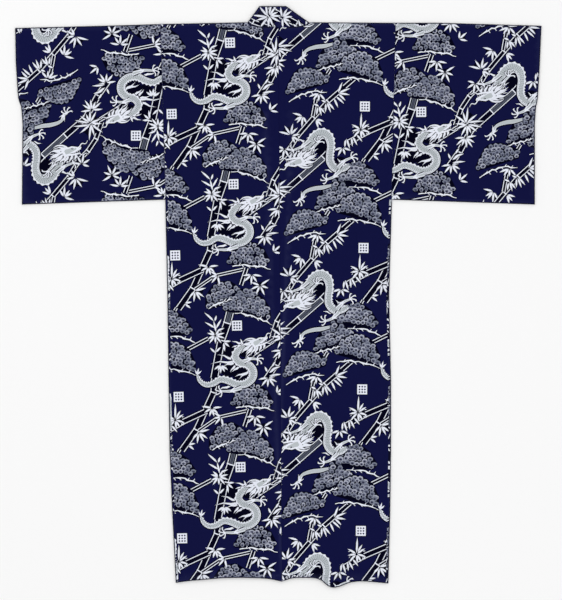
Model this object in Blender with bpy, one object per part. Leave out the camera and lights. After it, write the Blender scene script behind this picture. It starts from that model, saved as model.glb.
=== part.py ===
"""A kimono laid flat with its back up and its fronts underneath, closed left over right.

Metres, +Z up, the collar towards +Y, the wearer's left towards -X. Each panel is a cloth wall: leaves, which lie
flat or over what is under them, joined by round folds where the cloth turns over.
"""

import math
from collections import namedtuple

import bmesh
import bpy
from mathutils.geometry import delaunay_2d_cdt

# Driving sizes
TOTAL_LENGTH = 1.546        # collar's top to the lowest corner of the hem
COLLAR_STAND = 0.0425       # how far the collar stands above the shoulder fold
CLOTH = 0.0012              # wall of the cotton, with its seam allowances
COLLAR_CLOTH = 0.0016       # the collar is a doubled band
GAP = 0.0003                # between pieces at a seam
LAYER = 0.0020              # from one layer's underside to the next

NECK_HALF = 0.0850          # half the neck opening along the shoulder
NECK_DROP = 0.0018          # how far the shoulder fold has fallen where the neck begins
NECK_DIP = 0.0115           # how far the back neck is cut below the shoulder
COLLAR_WIDTH = 0.055
COLLAR_TOP_LEFT = 0.0508    # ends of the collar's top edge, from the centre back
COLLAR_TOP_RIGHT = 0.0205
COLLAR_CORNER_ROOM = 0.0022  # leaves the collar's folded sides clear of the shoulder folds
COLLAR_BULGE = 0.0028       # how far the loose edge under a front bows out
BULGE_ACROSS = 0.35         # where it does, as a share of the way across from its lower end to its top
BULGE_UP = 0.65             # and as a share of the way up

SLEEVE_BOTTOM = 0.470       # sleeve's depth at its seam
SLEEVE_SLOPE = 0.034        # how much its lower edge falls for each metre outwards
CUFF_OPENING = 0.200        # the hand's opening, down from the shoulder

CENTRE_SEAM_LEAN = 0.0093   # the centre back seam runs this far towards the right at the hem
OVERLAP_SEAM_TOP = 0.240    # below the shoulder, where the overlap's point meets the collar
OVERLAP_SEAM = 0.008        # distance past the centre of the seam between front and overlap
OVERLAP_REACH = 0.180       # distance past the centre of the overlap's free edge at the hem
COLLAR_END = 0.695          # below the shoulder
COLLAR_END_REACH = 0.115    # distance past the centre of the collar seam's lower end
FRONT_HEM = 1.470           # below the shoulder
FRONT_CORNER = 1.478        # the front's hem climbs to this from the side seam
FRONT_CORNER_IN = 0.020     # over this distance
FRONT_HALF = 0.300          # half width of what a front covers

# Fall of the shoulder fold, a row for each distance from the centre back
ShoulderDrop = namedtuple("ShoulderDrop", "across left right")
SHOULDER_DROPS = (
    ShoulderDrop(NECK_HALF, NECK_DROP, NECK_DROP),
    ShoulderDrop(0.310, 0.0064, 0.0033),
    ShoulderDrop(0.430, 0.0102, 0.0032),
    ShoulderDrop(0.700, 0.0172, 0.0112),
)

# Half widths of the laid body, a row for each height
BodyWidth = namedtuple("BodyWidth", "below left right")
BODY_WIDTHS = (
    BodyWidth(0.000, 0.3135, 0.3110),
    BodyWidth(0.470, 0.2995, 0.3000),
    BodyWidth(0.728, 0.2937, 0.2925),
    BodyWidth(0.952, 0.2907, 0.2975),
    BodyWidth(1.143, 0.2877, 0.2975),
    BodyWidth(1.302, 0.2808, 0.2953),
    BodyWidth(1.490, 0.2712, 0.2903),
)

# Reach of the sleeves' ends from the centre, a row for each height
SleeveEnd = namedtuple("SleeveEnd", "below left right")
SLEEVE_ENDS = (
    SleeveEnd(0.000, 0.7000, 0.6992),
    SleeveEnd(0.110, 0.6980, 0.6945),
    SleeveEnd(0.200, 0.6920, 0.6892),
    SleeveEnd(0.225, 0.6820, 0.6827),
    SleeveEnd(0.270, 0.6785, 0.6797),
    SleeveEnd(0.500, 0.6805, 0.6797),
)

# How far the back's hem lies below the shoulder, a row for each share of the way from side seam to centre seam
HemLine = namedtuple("HemLine", "share left right")
BACK_HEM = (
    HemLine(0.00, 1.4898, 1.4914),
    HemLine(0.12, 1.4848, 1.4880),
    HemLine(0.25, 1.4818, 1.4848),
    HemLine(0.36, 1.4790, 1.4880),
    HemLine(0.43, 1.4772, 1.4970),
    HemLine(0.51, 1.4766, 1.5035),
    HemLine(0.57, 1.4764, 1.4990),
    HemLine(0.65, 1.4762, 1.4765),
    HemLine(0.85, 1.4780, 1.4760),
    HemLine(0.95, 1.4825, 1.4790),
    HemLine(1.00, 1.4865, 1.4860),
)

# Soft folds that stand up in the back and the sleeves, a row for each
Ridge = namedtuple("Ridge", "x y turned half_length half_width height")
RIDGES = (
    Ridge(-0.190, -0.590, 96.0, 0.210, 0.060, 0.0018),
    Ridge(-0.075, -0.640, 84.0, 0.150, 0.050, 0.0013),
    Ridge(0.110, -0.600, 87.0, 0.200, 0.060, 0.0022),
    Ridge(0.215, -0.480, 95.0, 0.230, 0.055, 0.0014),
    Ridge(-0.140, -0.130, 88.0, 0.260, 0.065, 0.0012),
    Ridge(0.150, 0.020, 93.0, 0.240, 0.065, 0.0015),
    Ridge(-0.210, 0.330, 118.0, 0.160, 0.055, 0.0016),
    Ridge(0.190, 0.380, 64.0, 0.170, 0.055, 0.0013),
    Ridge(-0.510, 0.440, 172.0, 0.150, 0.060, 0.0017),
    Ridge(0.500, 0.520, 12.0, 0.160, 0.060, 0.0015),
    Ridge(-0.470, 0.590, 5.0, 0.140, 0.050, 0.0010),
    Ridge(0.560, 0.370, 168.0, 0.120, 0.050, 0.0012),
)

# How the walls are divided
GRID = 0.034
NEAR_EDGE = 0.45 * GRID     # no inner point lies closer to an outline
ROUND_STEPS = 4             # steps round a fold
COVER_REACH = 1.5 * GRID    # an upper layer keeps its full height this far past the edge of a lower one
COVER_FADE = 0.090          # and comes down over this distance

LEFT, RIGHT = -1, 1
SHOULDER_Y = TOTAL_LENGTH / 2 - COLLAR_STAND
NECK_SHOULDER_Y = SHOULDER_Y - NECK_DROP
FOLD_INSIDE = (LAYER - CLOTH) / 2

Finish = namedtuple("Finish", "color roughness metallic")
PRINTED_COTTON = Finish((0.085, 0.090, 0.180), 0.85, 0.0)


# Lines of the cut, as plan points

def interpolate(rows, value, column, key="below"):
    """Reads a table's column between its rows."""
    for low, high in zip(rows, rows[1:]):
        start, end = getattr(low, key), getattr(high, key)
        if value <= end:
            share = max(0.0, (value - start) / (end - start))
            return getattr(low, column) * (1 - share) + getattr(high, column) * share
    return getattr(rows[-1], column)


def name_of(side):
    return "left" if side == LEFT else "right"


def shoulder_at(x):
    side = LEFT if x < 0 else RIGHT
    return SHOULDER_Y - interpolate(SHOULDER_DROPS, abs(x), name_of(side), key="across")


def body_edge(side, y):
    """X of the body's outer edge at a height."""
    return side * interpolate(BODY_WIDTHS, SHOULDER_Y - y, name_of(side))


def sleeve_edge(side, y):
    return side * interpolate(SLEEVE_ENDS, SHOULDER_Y - y, name_of(side))


def sleeve_bottom_at(side, x):
    seam_y = SHOULDER_Y - SLEEVE_BOTTOM
    return seam_y - SLEEVE_SLOPE * (abs(x) - abs(body_edge(side, seam_y)))


def centre_at(y):
    """X of the centre back seam at a height."""
    return CENTRE_SEAM_LEAN * (SHOULDER_Y - y) / FRONT_HEM


def divided(points, step):
    """The same line with a point at least every step, and its own points kept."""
    line = [points[0]]
    for (ax, ay), (bx, by) in zip(points, points[1:]):
        parts = max(1, math.ceil(math.hypot(bx - ax, by - ay) / step))
        line += [(ax + (bx - ax) * i / parts, ay + (by - ay) * i / parts) for i in range(1, parts + 1)]
    return line


def down(line_x, top, bottom):
    """A line that follows a function of the height, from top to bottom."""
    parts = max(1, round(abs(top - bottom) / GRID))
    heights = [top + (bottom - top) * i / parts for i in range(parts + 1)]
    return [(line_x(y), y) for y in heights]


def shoulder_line(side, start, end):
    parts = max(1, round(abs(end - start) / GRID))
    spots = [start + (end - start) * i / parts for i in range(parts + 1)]
    return [(side * x, shoulder_at(side * x)) for x in spots]


def armhole_line(side):
    """The body's edge along the sleeve, which ends just under the sleeve's folded lower edge."""
    seam_x = body_edge(side, SHOULDER_Y)
    top = (seam_x, shoulder_at(seam_x))
    end = SHOULDER_Y - SLEEVE_BOTTOM - FOLD_INSIDE - CLOTH - GAP
    return [top] + down(lambda y: body_edge(side, y), top[1], end)[1:]


def side_line(side):
    top = armhole_line(side)[-1][1]
    bottom = SHOULDER_Y - getattr(BACK_HEM[0], name_of(side))
    return down(lambda y: body_edge(side, y), top, bottom)


def back_hem_line(side):
    """From the side seam to the centre seam."""
    outer = side_line(side)[-1][0]
    line = []
    for row in BACK_HEM:
        y = SHOULDER_Y - getattr(row, name_of(side))
        inner = centre_at(y) + side * GAP / 2
        line.append((outer + (inner - outer) * row.share, y))
    return divided(line, GRID)


def neck_dip(x):
    """Y of the back neck's cut."""
    return NECK_SHOULDER_Y - NECK_DIP * (1 - (x / NECK_HALF) ** 4)


def back_neck_line(side):
    """From the centre seam to the shoulder."""
    start = side * GAP / 2
    spots = [start + (side * NECK_HALF - start) * i / 4 for i in range(5)]
    return [(x, neck_dip(x)) for x in spots]


def collar_seam_line(side, moved):
    """The seam between the front and the collar, from the shoulder to the collar's end, moved towards the neck."""
    top = (side * (NECK_HALF - moved), NECK_SHOULDER_Y)
    end = (-side * (COLLAR_END_REACH - COLLAR_WIDTH + moved), SHOULDER_Y - COLLAR_END)
    return top, end


def collar_seam_at(side, y, moved):
    (ax, ay), (bx, by) = collar_seam_line(side, moved)
    return ax + (bx - ax) * (y - ay) / (by - ay)


def collar_free_end(side):
    """The lower corner of the collar's free edge."""
    (ax, ay), (bx, by) = collar_seam_line(side, 0.0)
    length = math.hypot(bx - ax, by - ay)
    return bx - side * COLLAR_WIDTH * (ay - by) / length, by + COLLAR_WIDTH * abs(bx - ax) / length


# Outlines of the leaves

def back_outline(side):
    shoulder = shoulder_line(side, NECK_HALF, abs(body_edge(side, SHOULDER_Y)))
    hem = back_hem_line(side)
    neck = back_neck_line(side)
    seam = divided([hem[-1], neck[0]], GRID)
    return armhole_line(side)[:-1] + side_line(side)[:-1] + hem[:-1] + seam[:-1] + neck[:-1] + shoulder[:-1]


def front_edge_x(side):
    return -side * OVERLAP_SEAM


def front_outline(side, step):
    """From the shoulder's outer end: armhole, side, hem, overlap seam, collar seam and shoulder."""
    shoulder = shoulder_line(side, NECK_HALF, abs(body_edge(side, SHOULDER_Y)))
    corner = side_line(side)[-1]
    edge = front_edge_x(side)
    hem = [corner, (corner[0] - side * FRONT_CORNER_IN, SHOULDER_Y - FRONT_CORNER), (edge, SHOULDER_Y - FRONT_HEM)]
    point = (collar_seam_at(side, SHOULDER_Y - OVERLAP_SEAM_TOP, 0.0), SHOULDER_Y - OVERLAP_SEAM_TOP)
    inner = divided(hem + [point, shoulder[0]], step)
    return armhole_line(side)[:-1] + side_line(side)[:-1] + inner[:-1] + shoulder[:-1]


def overlap_outline(side, step):
    edge = front_edge_x(side) - side * GAP
    top_y = SHOULDER_Y - OVERLAP_SEAM_TOP
    top = (collar_seam_at(side, top_y, 0.0) - side * GAP, top_y - 2 * GAP)
    end = collar_seam_line(side, 0.0)[1]
    free = collar_free_end(side)
    hem = [(edge, SHOULDER_Y - FRONT_HEM), (-side * OVERLAP_REACH, SHOULDER_Y - FRONT_HEM)]
    top_edge = [(free[0], free[1] - 2 * GAP), (end[0], end[1] - 2 * GAP)]
    outline = hem + top_edge + [top]
    return divided(outline + outline[:1], step)[:-1]


def sleeve_lines(side):
    """The sleeve's top fold, open cuff, and sewn end with the lower edge, as three joined lines."""
    seam_top = abs(body_edge(side, SHOULDER_Y)) + GAP
    seam_y = SHOULDER_Y - SLEEVE_BOTTOM
    outer_top = abs(sleeve_edge(side, SHOULDER_Y))
    top = shoulder_line(side, seam_top, outer_top)
    opening_end = SHOULDER_Y - CUFF_OPENING
    cuff = top[-1:] + down(lambda y: sleeve_edge(side, y), top[-1][1], opening_end)[1:]
    corner_x = sleeve_edge(side, seam_y)
    corner = (corner_x, sleeve_bottom_at(side, corner_x))
    end = down(lambda y: sleeve_edge(side, y), opening_end, corner[1])
    inner = body_edge(side, seam_y) + side * GAP
    lower = divided([end[-1], (inner, sleeve_bottom_at(side, inner))], GRID)
    seam = divided([lower[-1], top[0]], GRID)
    return top, cuff, end[:-1] + lower, seam


def collar_back_outline():
    """The collar's stretch behind the neck, wider at its seam than at its top."""
    top_y = SHOULDER_Y + COLLAR_STAND
    corner = NECK_HALF - COLLAR_CORNER_ROOM
    corner_y = NECK_SHOULDER_Y + GAP
    spots = [-corner + 2 * corner * i / 8 for i in range(1, 8)]
    seam = [(x, neck_dip(x) + GAP) for x in spots]
    left_side = divided([(-COLLAR_TOP_LEFT, top_y), (-corner, corner_y)], GRID)
    right_side = divided([(corner, corner_y), (COLLAR_TOP_RIGHT, top_y)], GRID)
    top = divided([right_side[-1], left_side[0]], GRID)
    return left_side, seam, right_side, top[1:-1]


def collar_front_outline(side, fold, step):
    """The collar's stretch under one front, from its folded side down to its end."""
    corner, top = (fold[-1], fold[0]) if side == LEFT else (fold[0], fold[-1])
    meets_seam_y = corner[1] - COLLAR_WIDTH
    seam_end = collar_seam_line(side, GAP)[1]
    free = collar_free_end(side)
    sewn = [corner, (collar_seam_at(side, meets_seam_y, GAP), meets_seam_y), seam_end]
    widest_x = free[0] + BULGE_ACROSS * (top[0] - free[0]) - side * COLLAR_BULGE
    loose = [free, (widest_x, free[1] + BULGE_UP * (top[1] - free[1])), top]
    open_edge = divided(sewn + loose, step)
    fold_back = list(reversed(fold)) if side == RIGHT else list(fold)
    return open_edge + fold_back[1:-1]


# Heights of the layers

def distance_outside(region, x, y):
    """How far a point lies outside a plan outline, or 0 inside it."""
    inside = False
    nearest = math.inf
    for (ax, ay), (bx, by) in zip(region, region[1:] + region[:1]):
        if (ay > y) != (by > y) and x < ax + (bx - ax) * (y - ay) / (by - ay):
            inside = not inside
        length = (bx - ax) ** 2 + (by - ay) ** 2
        share = min(1.0, max(0.0, ((x - ax) * (bx - ax) + (y - ay) * (by - ay)) / length))
        nearest = min(nearest, math.hypot(x - ax - share * (bx - ax), y - ay - share * (by - ay)))
    return 0.0 if inside else nearest


def front_region(side):
    """All that one front covers: its sleeve, body, overlap and collar."""
    seam_y = SHOULDER_Y - SLEEVE_BOTTOM
    outer = sleeve_edge(side, SHOULDER_Y)
    collar_top = COLLAR_TOP_LEFT if side == LEFT else COLLAR_TOP_RIGHT
    hem_y = SHOULDER_Y - FRONT_HEM - COLLAR_WIDTH
    return [
        (outer, SHOULDER_Y),
        (outer, seam_y - COLLAR_WIDTH),
        (body_edge(side, seam_y), seam_y - COLLAR_WIDTH),
        (side * FRONT_HALF, hem_y),
        (-side * OVERLAP_REACH, hem_y),
        collar_free_end(side),
        (side * collar_top, SHOULDER_Y + COLLAR_STAND),
    ]


def cover(region, x, y):
    """1 over a region and a little past it, then smoothly down to 0."""
    past = distance_outside(region, x, y) - COVER_REACH
    share = min(1.0, max(0.0, 1 - past / COVER_FADE))
    return share * share * (3 - 2 * share)


def loft(x, y):
    """Height that the soft folds add."""
    height = 0.0
    for ridge in RIDGES:
        angle = math.radians(ridge.turned)
        along = ((x - ridge.x) * math.cos(angle) + (y - ridge.y) * math.sin(angle)) / ridge.half_length
        across = ((y - ridge.y) * math.cos(angle) - (x - ridge.x) * math.sin(angle)) / ridge.half_width
        height += ridge.height * math.exp(-along * along - across * across)
    return height


LEFT_REGION = front_region(LEFT)
RIGHT_REGION = front_region(RIGHT)


def on_floor(x, y):
    return 0.0


def over_left_front(x, y):
    return LAYER * cover(LEFT_REGION, x, y)


def over_both_fronts(x, y):
    return over_left_front(x, y) + LAYER * cover(RIGHT_REGION, x, y) + loft(x, y)


# Walls

Leaf = namedtuple("Leaf", "outline height gridded")
Fold = namedtuple("Fold", "upper lower line")


def key(point):
    return round(point[0], 6), round(point[1], 6)


def inner_points(outline):
    """A grid of plan points well inside an outline."""
    xs = [p[0] for p in outline]
    ys = [p[1] for p in outline]
    points = []
    for row in range(math.floor(min(ys) / GRID), math.ceil(max(ys) / GRID) + 1):
        shift = GRID / 2 if row % 2 else 0.0
        for column in range(math.floor(min(xs) / GRID) - 1, math.ceil(max(xs) / GRID) + 1):
            x, y = column * GRID + shift, row * GRID
            if distance_outside(outline, x, y) > 0:
                continue
            if edge_distance(outline, x, y) > NEAR_EDGE:
                points.append((x, y))
    return points


def edge_distance(outline, x, y):
    nearest = math.inf
    for (ax, ay), (bx, by) in zip(outline, outline[1:] + outline[:1]):
        length = (bx - ax) ** 2 + (by - ay) ** 2
        share = min(1.0, max(0.0, ((x - ax) * (bx - ax) + (y - ay) * (by - ay)) / length))
        nearest = min(nearest, math.hypot(x - ax - share * (bx - ax), y - ay - share * (by - ay)))
    return nearest


def triangulated(leaf):
    """Plan points and triangles of a leaf."""
    outline = leaf.outline
    area = sum(a[0] * b[1] - b[0] * a[1] for a, b in zip(outline, outline[1:] + outline[:1]))
    loop = outline if area > 0 else outline[::-1]
    extra = inner_points(outline) if leaf.gridded else []
    given = loop + extra
    face = list(range(len(loop)))
    made, _, faces, origins, _, holders = delaunay_2d_cdt(given, [], [face], 1, 1e-7, True)
    points = [given[source[0]] if source else tuple(point) for point, source in zip(made, origins)]
    return points, [face for face, holder in zip(faces, holders) if holder]


def fold_normals(line, centre):
    """The outward direction at each point of a folded line, mitred at its corners."""
    normals = []
    for (ax, ay), (bx, by) in zip(line, line[1:]):
        length = math.hypot(bx - ax, by - ay)
        nx, ny = (by - ay) / length, (ax - bx) / length
        outwards = nx * ((ax + bx) / 2 - centre[0]) + ny * ((ay + by) / 2 - centre[1])
        normals.append((nx, ny) if outwards > 0 else (-nx, -ny))
    mitred = []
    for before, after in zip(normals[:1] + normals, normals + normals[-1:]):
        share = 1 + before[0] * after[0] + before[1] * after[1]
        mitred.append(((before[0] + after[0]) / share, (before[1] + after[1]) / share))
    return mitred


def centre_of(outline):
    return sum(p[0] for p in outline) / len(outline), sum(p[1] for p in outline) / len(outline)


def add_leaf(mesh, leaf, thickness, folded):
    """Adds a leaf's two faces and its free edges, and returns its points' lower and upper vertices."""
    points, faces = triangulated(leaf)
    low, high = [], []
    for x, y in points:
        z = leaf.height(x, y)
        low.append(mesh.verts.new((x, y, z)))
        high.append(mesh.verts.new((x, y, z + thickness)))
    uses = {}
    for face in faces:
        mesh.faces.new([high[i] for i in face])
        mesh.faces.new([low[i] for i in reversed(face)])
        for a, b in zip(face, face[1:] + face[:1]):
            uses[frozenset((a, b))] = (a, b) if frozenset((a, b)) not in uses else None
    for edge in uses.values():
        if edge is None:
            continue
        a, b = edge
        if frozenset((key(points[a]), key(points[b]))) not in folded:
            mesh.faces.new((low[a], low[b], high[b], high[a]))
    return {key(point): (low[i], high[i]) for i, point in enumerate(points)}


def add_fold(mesh, fold, upper, lower, thickness, centre):
    """Rounds the cloth from an upper leaf's edge to a lower leaf's."""
    inside = (LAYER - thickness) / 2
    arcs = []
    for point, normal in zip(fold.line, fold_normals(fold.line, centre)):
        upper_low, upper_high = upper[key(point)]
        lower_low, lower_high = lower[key(point)]
        arcs.append((
            arc(mesh, upper_high, lower_low, normal, inside + thickness),
            arc(mesh, upper_low, lower_high, normal, inside),
        ))
    for (outer_a, inner_a), (outer_b, inner_b) in zip(arcs, arcs[1:]):
        for i in range(ROUND_STEPS):
            mesh.faces.new((outer_a[i], outer_b[i], outer_b[i + 1], outer_a[i + 1]))
            mesh.faces.new((inner_a[i + 1], inner_b[i + 1], inner_b[i], inner_a[i]))
    for outer, inner in (arcs[0], arcs[-1]):
        for i in range(ROUND_STEPS):
            mesh.faces.new((outer[i], outer[i + 1], inner[i + 1], inner[i]))


def arc(mesh, start, end, normal, reach):
    """A half round from one vertex over to the one below it."""
    middle = (start.co.z + end.co.z) / 2
    half = (start.co.z - end.co.z) / 2
    line = [start]
    for i in range(1, ROUND_STEPS):
        angle = math.pi * i / ROUND_STEPS
        out = reach * math.sin(angle)
        x, y = start.co.x + normal[0] * out, start.co.y + normal[1] * out
        line.append(mesh.verts.new((x, y, middle + half * math.cos(angle))))
    return line + [end]


def wall(name, finish, leaves, folds=(), thickness=CLOTH):
    """One closed cloth wall of leaves and the folds between them."""
    mesh = bmesh.new()
    folded = [set() for _ in leaves]
    for fold in folds:
        for a, b in zip(fold.line, fold.line[1:]):
            folded[fold.upper].add(frozenset((key(a), key(b))))
            folded[fold.lower].add(frozenset((key(a), key(b))))
    ends = [add_leaf(mesh, leaf, thickness, lines) for leaf, lines in zip(leaves, folded)]
    for fold in folds:
        centre = centre_of(leaves[fold.upper].outline)
        add_fold(mesh, fold, ends[fold.upper], ends[fold.lower], thickness, centre)
    bmesh.ops.triangulate(mesh, faces=mesh.faces[:])
    bmesh.ops.recalc_face_normals(mesh, faces=mesh.faces[:])
    data = bpy.data.meshes.new(name)
    mesh.to_mesh(data)
    mesh.free()
    data.materials.append(material(name, finish))
    piece = bpy.data.objects.new(name, data)
    bpy.context.scene.collection.objects.link(piece)
    return piece


def material(name, finish):
    made = bpy.data.materials.new(f"{name} cotton")
    made.use_nodes = True
    shader = made.node_tree.nodes["Principled BSDF"]
    shader.inputs["Base Color"].default_value = (*finish.color, 1.0)
    shader.inputs["Roughness"].default_value = finish.roughness
    shader.inputs["Metallic"].default_value = finish.metallic
    return made


# Pieces

def front_height(side):
    return on_floor if side == LEFT else over_left_front


def outline_step(side):
    """Flat leaves need no points along their edges."""
    return math.inf if side == LEFT else GRID


def make_body(side):
    """One length of cloth over the shoulder: half of the back, and a front."""
    back = Leaf(back_outline(side), over_both_fronts, True)
    front = Leaf(front_outline(side, outline_step(side)), front_height(side), side == RIGHT)
    shoulder = shoulder_line(side, NECK_HALF, abs(body_edge(side, SHOULDER_Y)))
    folds = (Fold(0, 1, shoulder), Fold(0, 1, side_line(side)))
    return wall(f"body_{name_of(side)}", PRINTED_COTTON, (back, front), folds)


def make_overlap(side):
    leaf = Leaf(overlap_outline(side, outline_step(side)), front_height(side), side == RIGHT)
    return wall(f"overlap_{name_of(side)}", PRINTED_COTTON, (leaf,))


def make_sleeve(side):
    """A flat tube: folded at its top, sewn along its lower edge and up its end to the cuff's opening."""
    top, cuff, closed, seam = sleeve_lines(side)
    outline = top[:-1] + cuff[:-1] + closed[:-1] + seam[:-1]
    upper = Leaf(outline, over_both_fronts, True)
    lower = Leaf(outline, front_height(side), False)
    return wall(f"sleeve_{name_of(side)}", PRINTED_COTTON, (upper, lower), (Fold(0, 1, top), Fold(0, 1, closed)))


def make_collar():
    """A doubled band round the neck, turned down under each front at its slanted sides."""
    left_side, seam, right_side, top = collar_back_outline()
    back = Leaf(left_side + seam + right_side + top, over_both_fronts, True)
    left = Leaf(collar_front_outline(LEFT, left_side, math.inf), on_floor, False)
    right = Leaf(collar_front_outline(RIGHT, right_side, GRID), over_left_front, True)
    folds = (Fold(0, 1, left_side), Fold(0, 2, right_side))
    return wall("collar", PRINTED_COTTON, (back, left, right), folds, COLLAR_CLOTH)


def centre_on_floor(pieces):
    """Moves the whole garment so that its middle is over the origin and it rests at 0."""
    corners = [vertex.co for piece in pieces for vertex in piece.data.vertices]
    middle_x = (min(c.x for c in corners) + max(c.x for c in corners)) / 2
    middle_y = (min(c.y for c in corners) + max(c.y for c in corners)) / 2
    for piece in pieces:
        for vertex in piece.data.vertices:
            vertex.co.x -= middle_x
            vertex.co.y -= middle_y


def main():
    for old in list(bpy.data.objects):
        bpy.data.objects.remove(old)
    pieces = [make_body(side) for side in (LEFT, RIGHT)]
    pieces += [make_sleeve(side) for side in (LEFT, RIGHT)]
    pieces += [make_overlap(side) for side in (LEFT, RIGHT)]
    pieces.append(make_collar())
    centre_on_floor(pieces)


main()
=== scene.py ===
"""A printed cotton kimono laid flat, its back up, on a pale floor.

Metres. The collar points to +Y, and the wearer's left to -X. Each piece of cloth is a thin closed shell
on its solid's form, and the print is part of its surface, as areas of dye with their own colours.
"""

import math
from collections import namedtuple

import bpy
import numpy as np
from mathutils.geometry import delaunay_2d_cdt
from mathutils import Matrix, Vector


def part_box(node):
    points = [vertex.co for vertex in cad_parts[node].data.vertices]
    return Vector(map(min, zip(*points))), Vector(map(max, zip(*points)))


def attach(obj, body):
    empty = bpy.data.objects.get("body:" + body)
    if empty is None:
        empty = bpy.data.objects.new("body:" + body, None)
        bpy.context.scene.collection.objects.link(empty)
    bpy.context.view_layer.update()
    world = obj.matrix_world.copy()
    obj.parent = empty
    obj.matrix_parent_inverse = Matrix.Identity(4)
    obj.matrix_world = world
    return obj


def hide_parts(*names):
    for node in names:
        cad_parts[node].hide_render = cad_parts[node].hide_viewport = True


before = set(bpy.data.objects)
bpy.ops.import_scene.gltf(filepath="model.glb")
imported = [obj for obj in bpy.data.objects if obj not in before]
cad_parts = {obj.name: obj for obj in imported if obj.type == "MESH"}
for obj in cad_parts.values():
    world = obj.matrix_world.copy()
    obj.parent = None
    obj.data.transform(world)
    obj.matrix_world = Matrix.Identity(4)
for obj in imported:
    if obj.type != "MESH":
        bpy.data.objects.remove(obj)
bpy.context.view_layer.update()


def table(columns, *rows):
    """Rows of values under named columns."""
    row_of = namedtuple("Row", columns)
    return tuple(row_of(*row) for row in rows)


# Sizes of the garment, as the solids have them
TOTAL_LENGTH = 1.546
COLLAR_STAND = 0.0425
CLOTH = 0.0012
COLLAR_CLOTH = 0.0016
GAP = 0.0003
LAYER = 0.0020
NECK_HALF = 0.0850
NECK_DROP = 0.0018
NECK_DIP = 0.0115
NECK_PARTS = 10
COLLAR_WIDTH = 0.055
COLLAR_TOP_LEFT = 0.0508
COLLAR_TOP_RIGHT = 0.0205
COLLAR_CORNER_ROOM = 0.0022
COLLAR_BULGE = 0.0028
BULGE_ACROSS = 0.35
BULGE_UP = 0.65
SLEEVE_BOTTOM = 0.470
SLEEVE_SLOPE = 0.034
CUFF_OPENING = 0.200
CENTRE_SEAM_LEAN = 0.0093
OVERLAP_SEAM_TOP = 0.240
OVERLAP_SEAM = 0.008
OVERLAP_REACH = 0.180
COLLAR_END = 0.695
COLLAR_END_REACH = 0.115
FRONT_HEM = 1.470
FRONT_CORNER = 1.478
FRONT_CORNER_IN = 0.020
FRONT_HALF = 0.300

SHOULDER_DROPS = table(
    "across left right",
    (NECK_HALF, NECK_DROP, NECK_DROP), (0.310, 0.0064, 0.0033), (0.430, 0.0102, 0.0032),
    (0.700, 0.0172, 0.0112),
)

BODY_WIDTHS = table(
    "below left right",
    (0.000, 0.3135, 0.3110), (0.470, 0.2995, 0.3000), (0.728, 0.2937, 0.2925), (0.952, 0.2907, 0.2975),
    (1.143, 0.2877, 0.2975), (1.302, 0.2808, 0.2953), (1.490, 0.2712, 0.2903),
)

SLEEVE_ENDS = table(
    "below left right",
    (0.000, 0.7000, 0.6992), (0.110, 0.6980, 0.6945), (0.200, 0.6920, 0.6892), (0.225, 0.6820, 0.6827),
    (0.270, 0.6785, 0.6797), (0.500, 0.6805, 0.6797),
)

BACK_HEM = table(
    "share left right",
    (0.00, 1.4898, 1.4914), (0.12, 1.4848, 1.4880), (0.25, 1.4818, 1.4848), (0.36, 1.4790, 1.4880),
    (0.43, 1.4772, 1.4970), (0.51, 1.4766, 1.5035), (0.57, 1.4764, 1.4990), (0.65, 1.4762, 1.4765),
    (0.85, 1.4780, 1.4760), (0.95, 1.4825, 1.4790), (1.00, 1.4865, 1.4860),
)

RIDGES = table(
    "x y turned half_length half_width height",
    (-0.190, -0.590, 96.0, 0.210, 0.060, 0.0018), (-0.075, -0.640, 84.0, 0.150, 0.050, 0.0013),
    (0.110, -0.600, 87.0, 0.200, 0.060, 0.0022), (0.215, -0.480, 95.0, 0.230, 0.055, 0.0014),
    (-0.140, -0.130, 88.0, 0.260, 0.065, 0.0012), (0.150, 0.020, 93.0, 0.240, 0.065, 0.0015),
    (-0.210, 0.330, 118.0, 0.160, 0.055, 0.0016), (0.190, 0.380, 64.0, 0.170, 0.055, 0.0013),
    (-0.510, 0.440, 172.0, 0.150, 0.060, 0.0017), (0.500, 0.520, 12.0, 0.160, 0.060, 0.0015),
    (-0.470, 0.590, 5.0, 0.140, 0.050, 0.0010), (0.560, 0.370, 168.0, 0.120, 0.050, 0.0012),
)

LEFT, RIGHT = -1, 1
COVER_REACH = 0.051         # an upper layer keeps its full height this far past the edge of a lower one
COVER_FADE = 0.090          # and comes down over this distance
EDGE_STEP = 0.012           # between points along an edge
COARSE_STEP = 0.040         # between points inside a face that nobody sees
FINE_STEP = 0.015           # between points of the cloth inside a face that shows
EDGE_ROUND = 0.0026         # how far an edge's rounding reaches into a face; away from seams this rounding is painted near-black as painted shade
SEAM_ROUND = 0.0006         # and where the edge is sewn to another piece
SEAM_REACH = 0.003          # a panel's edge this near a seam's line belongs to the seam
SIDE_WRAP = 0.007           # the front's cloth turns onto the back this far along the side seam

# The solids are centred over the origin, which moves everything by this much
MOVE_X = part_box("sleeve_right")[1][0] - SLEEVE_ENDS[0].right
MOVE_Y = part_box("overlap_right")[0][1] + FRONT_HEM + COLLAR_STAND - TOTAL_LENGTH / 2
SHOULDER_Y = TOTAL_LENGTH / 2 - COLLAR_STAND + MOVE_Y
NECK_SHOULDER_Y = SHOULDER_Y - NECK_DROP
SLEEVE_SEAM_Y = SHOULDER_Y - SLEEVE_BOTTOM
ROUND_OUT = (LAYER - CLOTH) / 2 + CLOTH     # from a fold's line to the outside of its round

# The small waves that sewing draws up beside a seam
PUCKER = 0.00030
PUCKER_LENGTH = 0.022
PUCKER_DRIFT = 0.09
PUCKER_REACH = 0.008
SEAM_ROWS = (-0.015, -0.0095, -0.005, 0.005, 0.0095, 0.015)
SEAM_STEP = 0.0055
SEAM_ROOM = 0.0015

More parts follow.
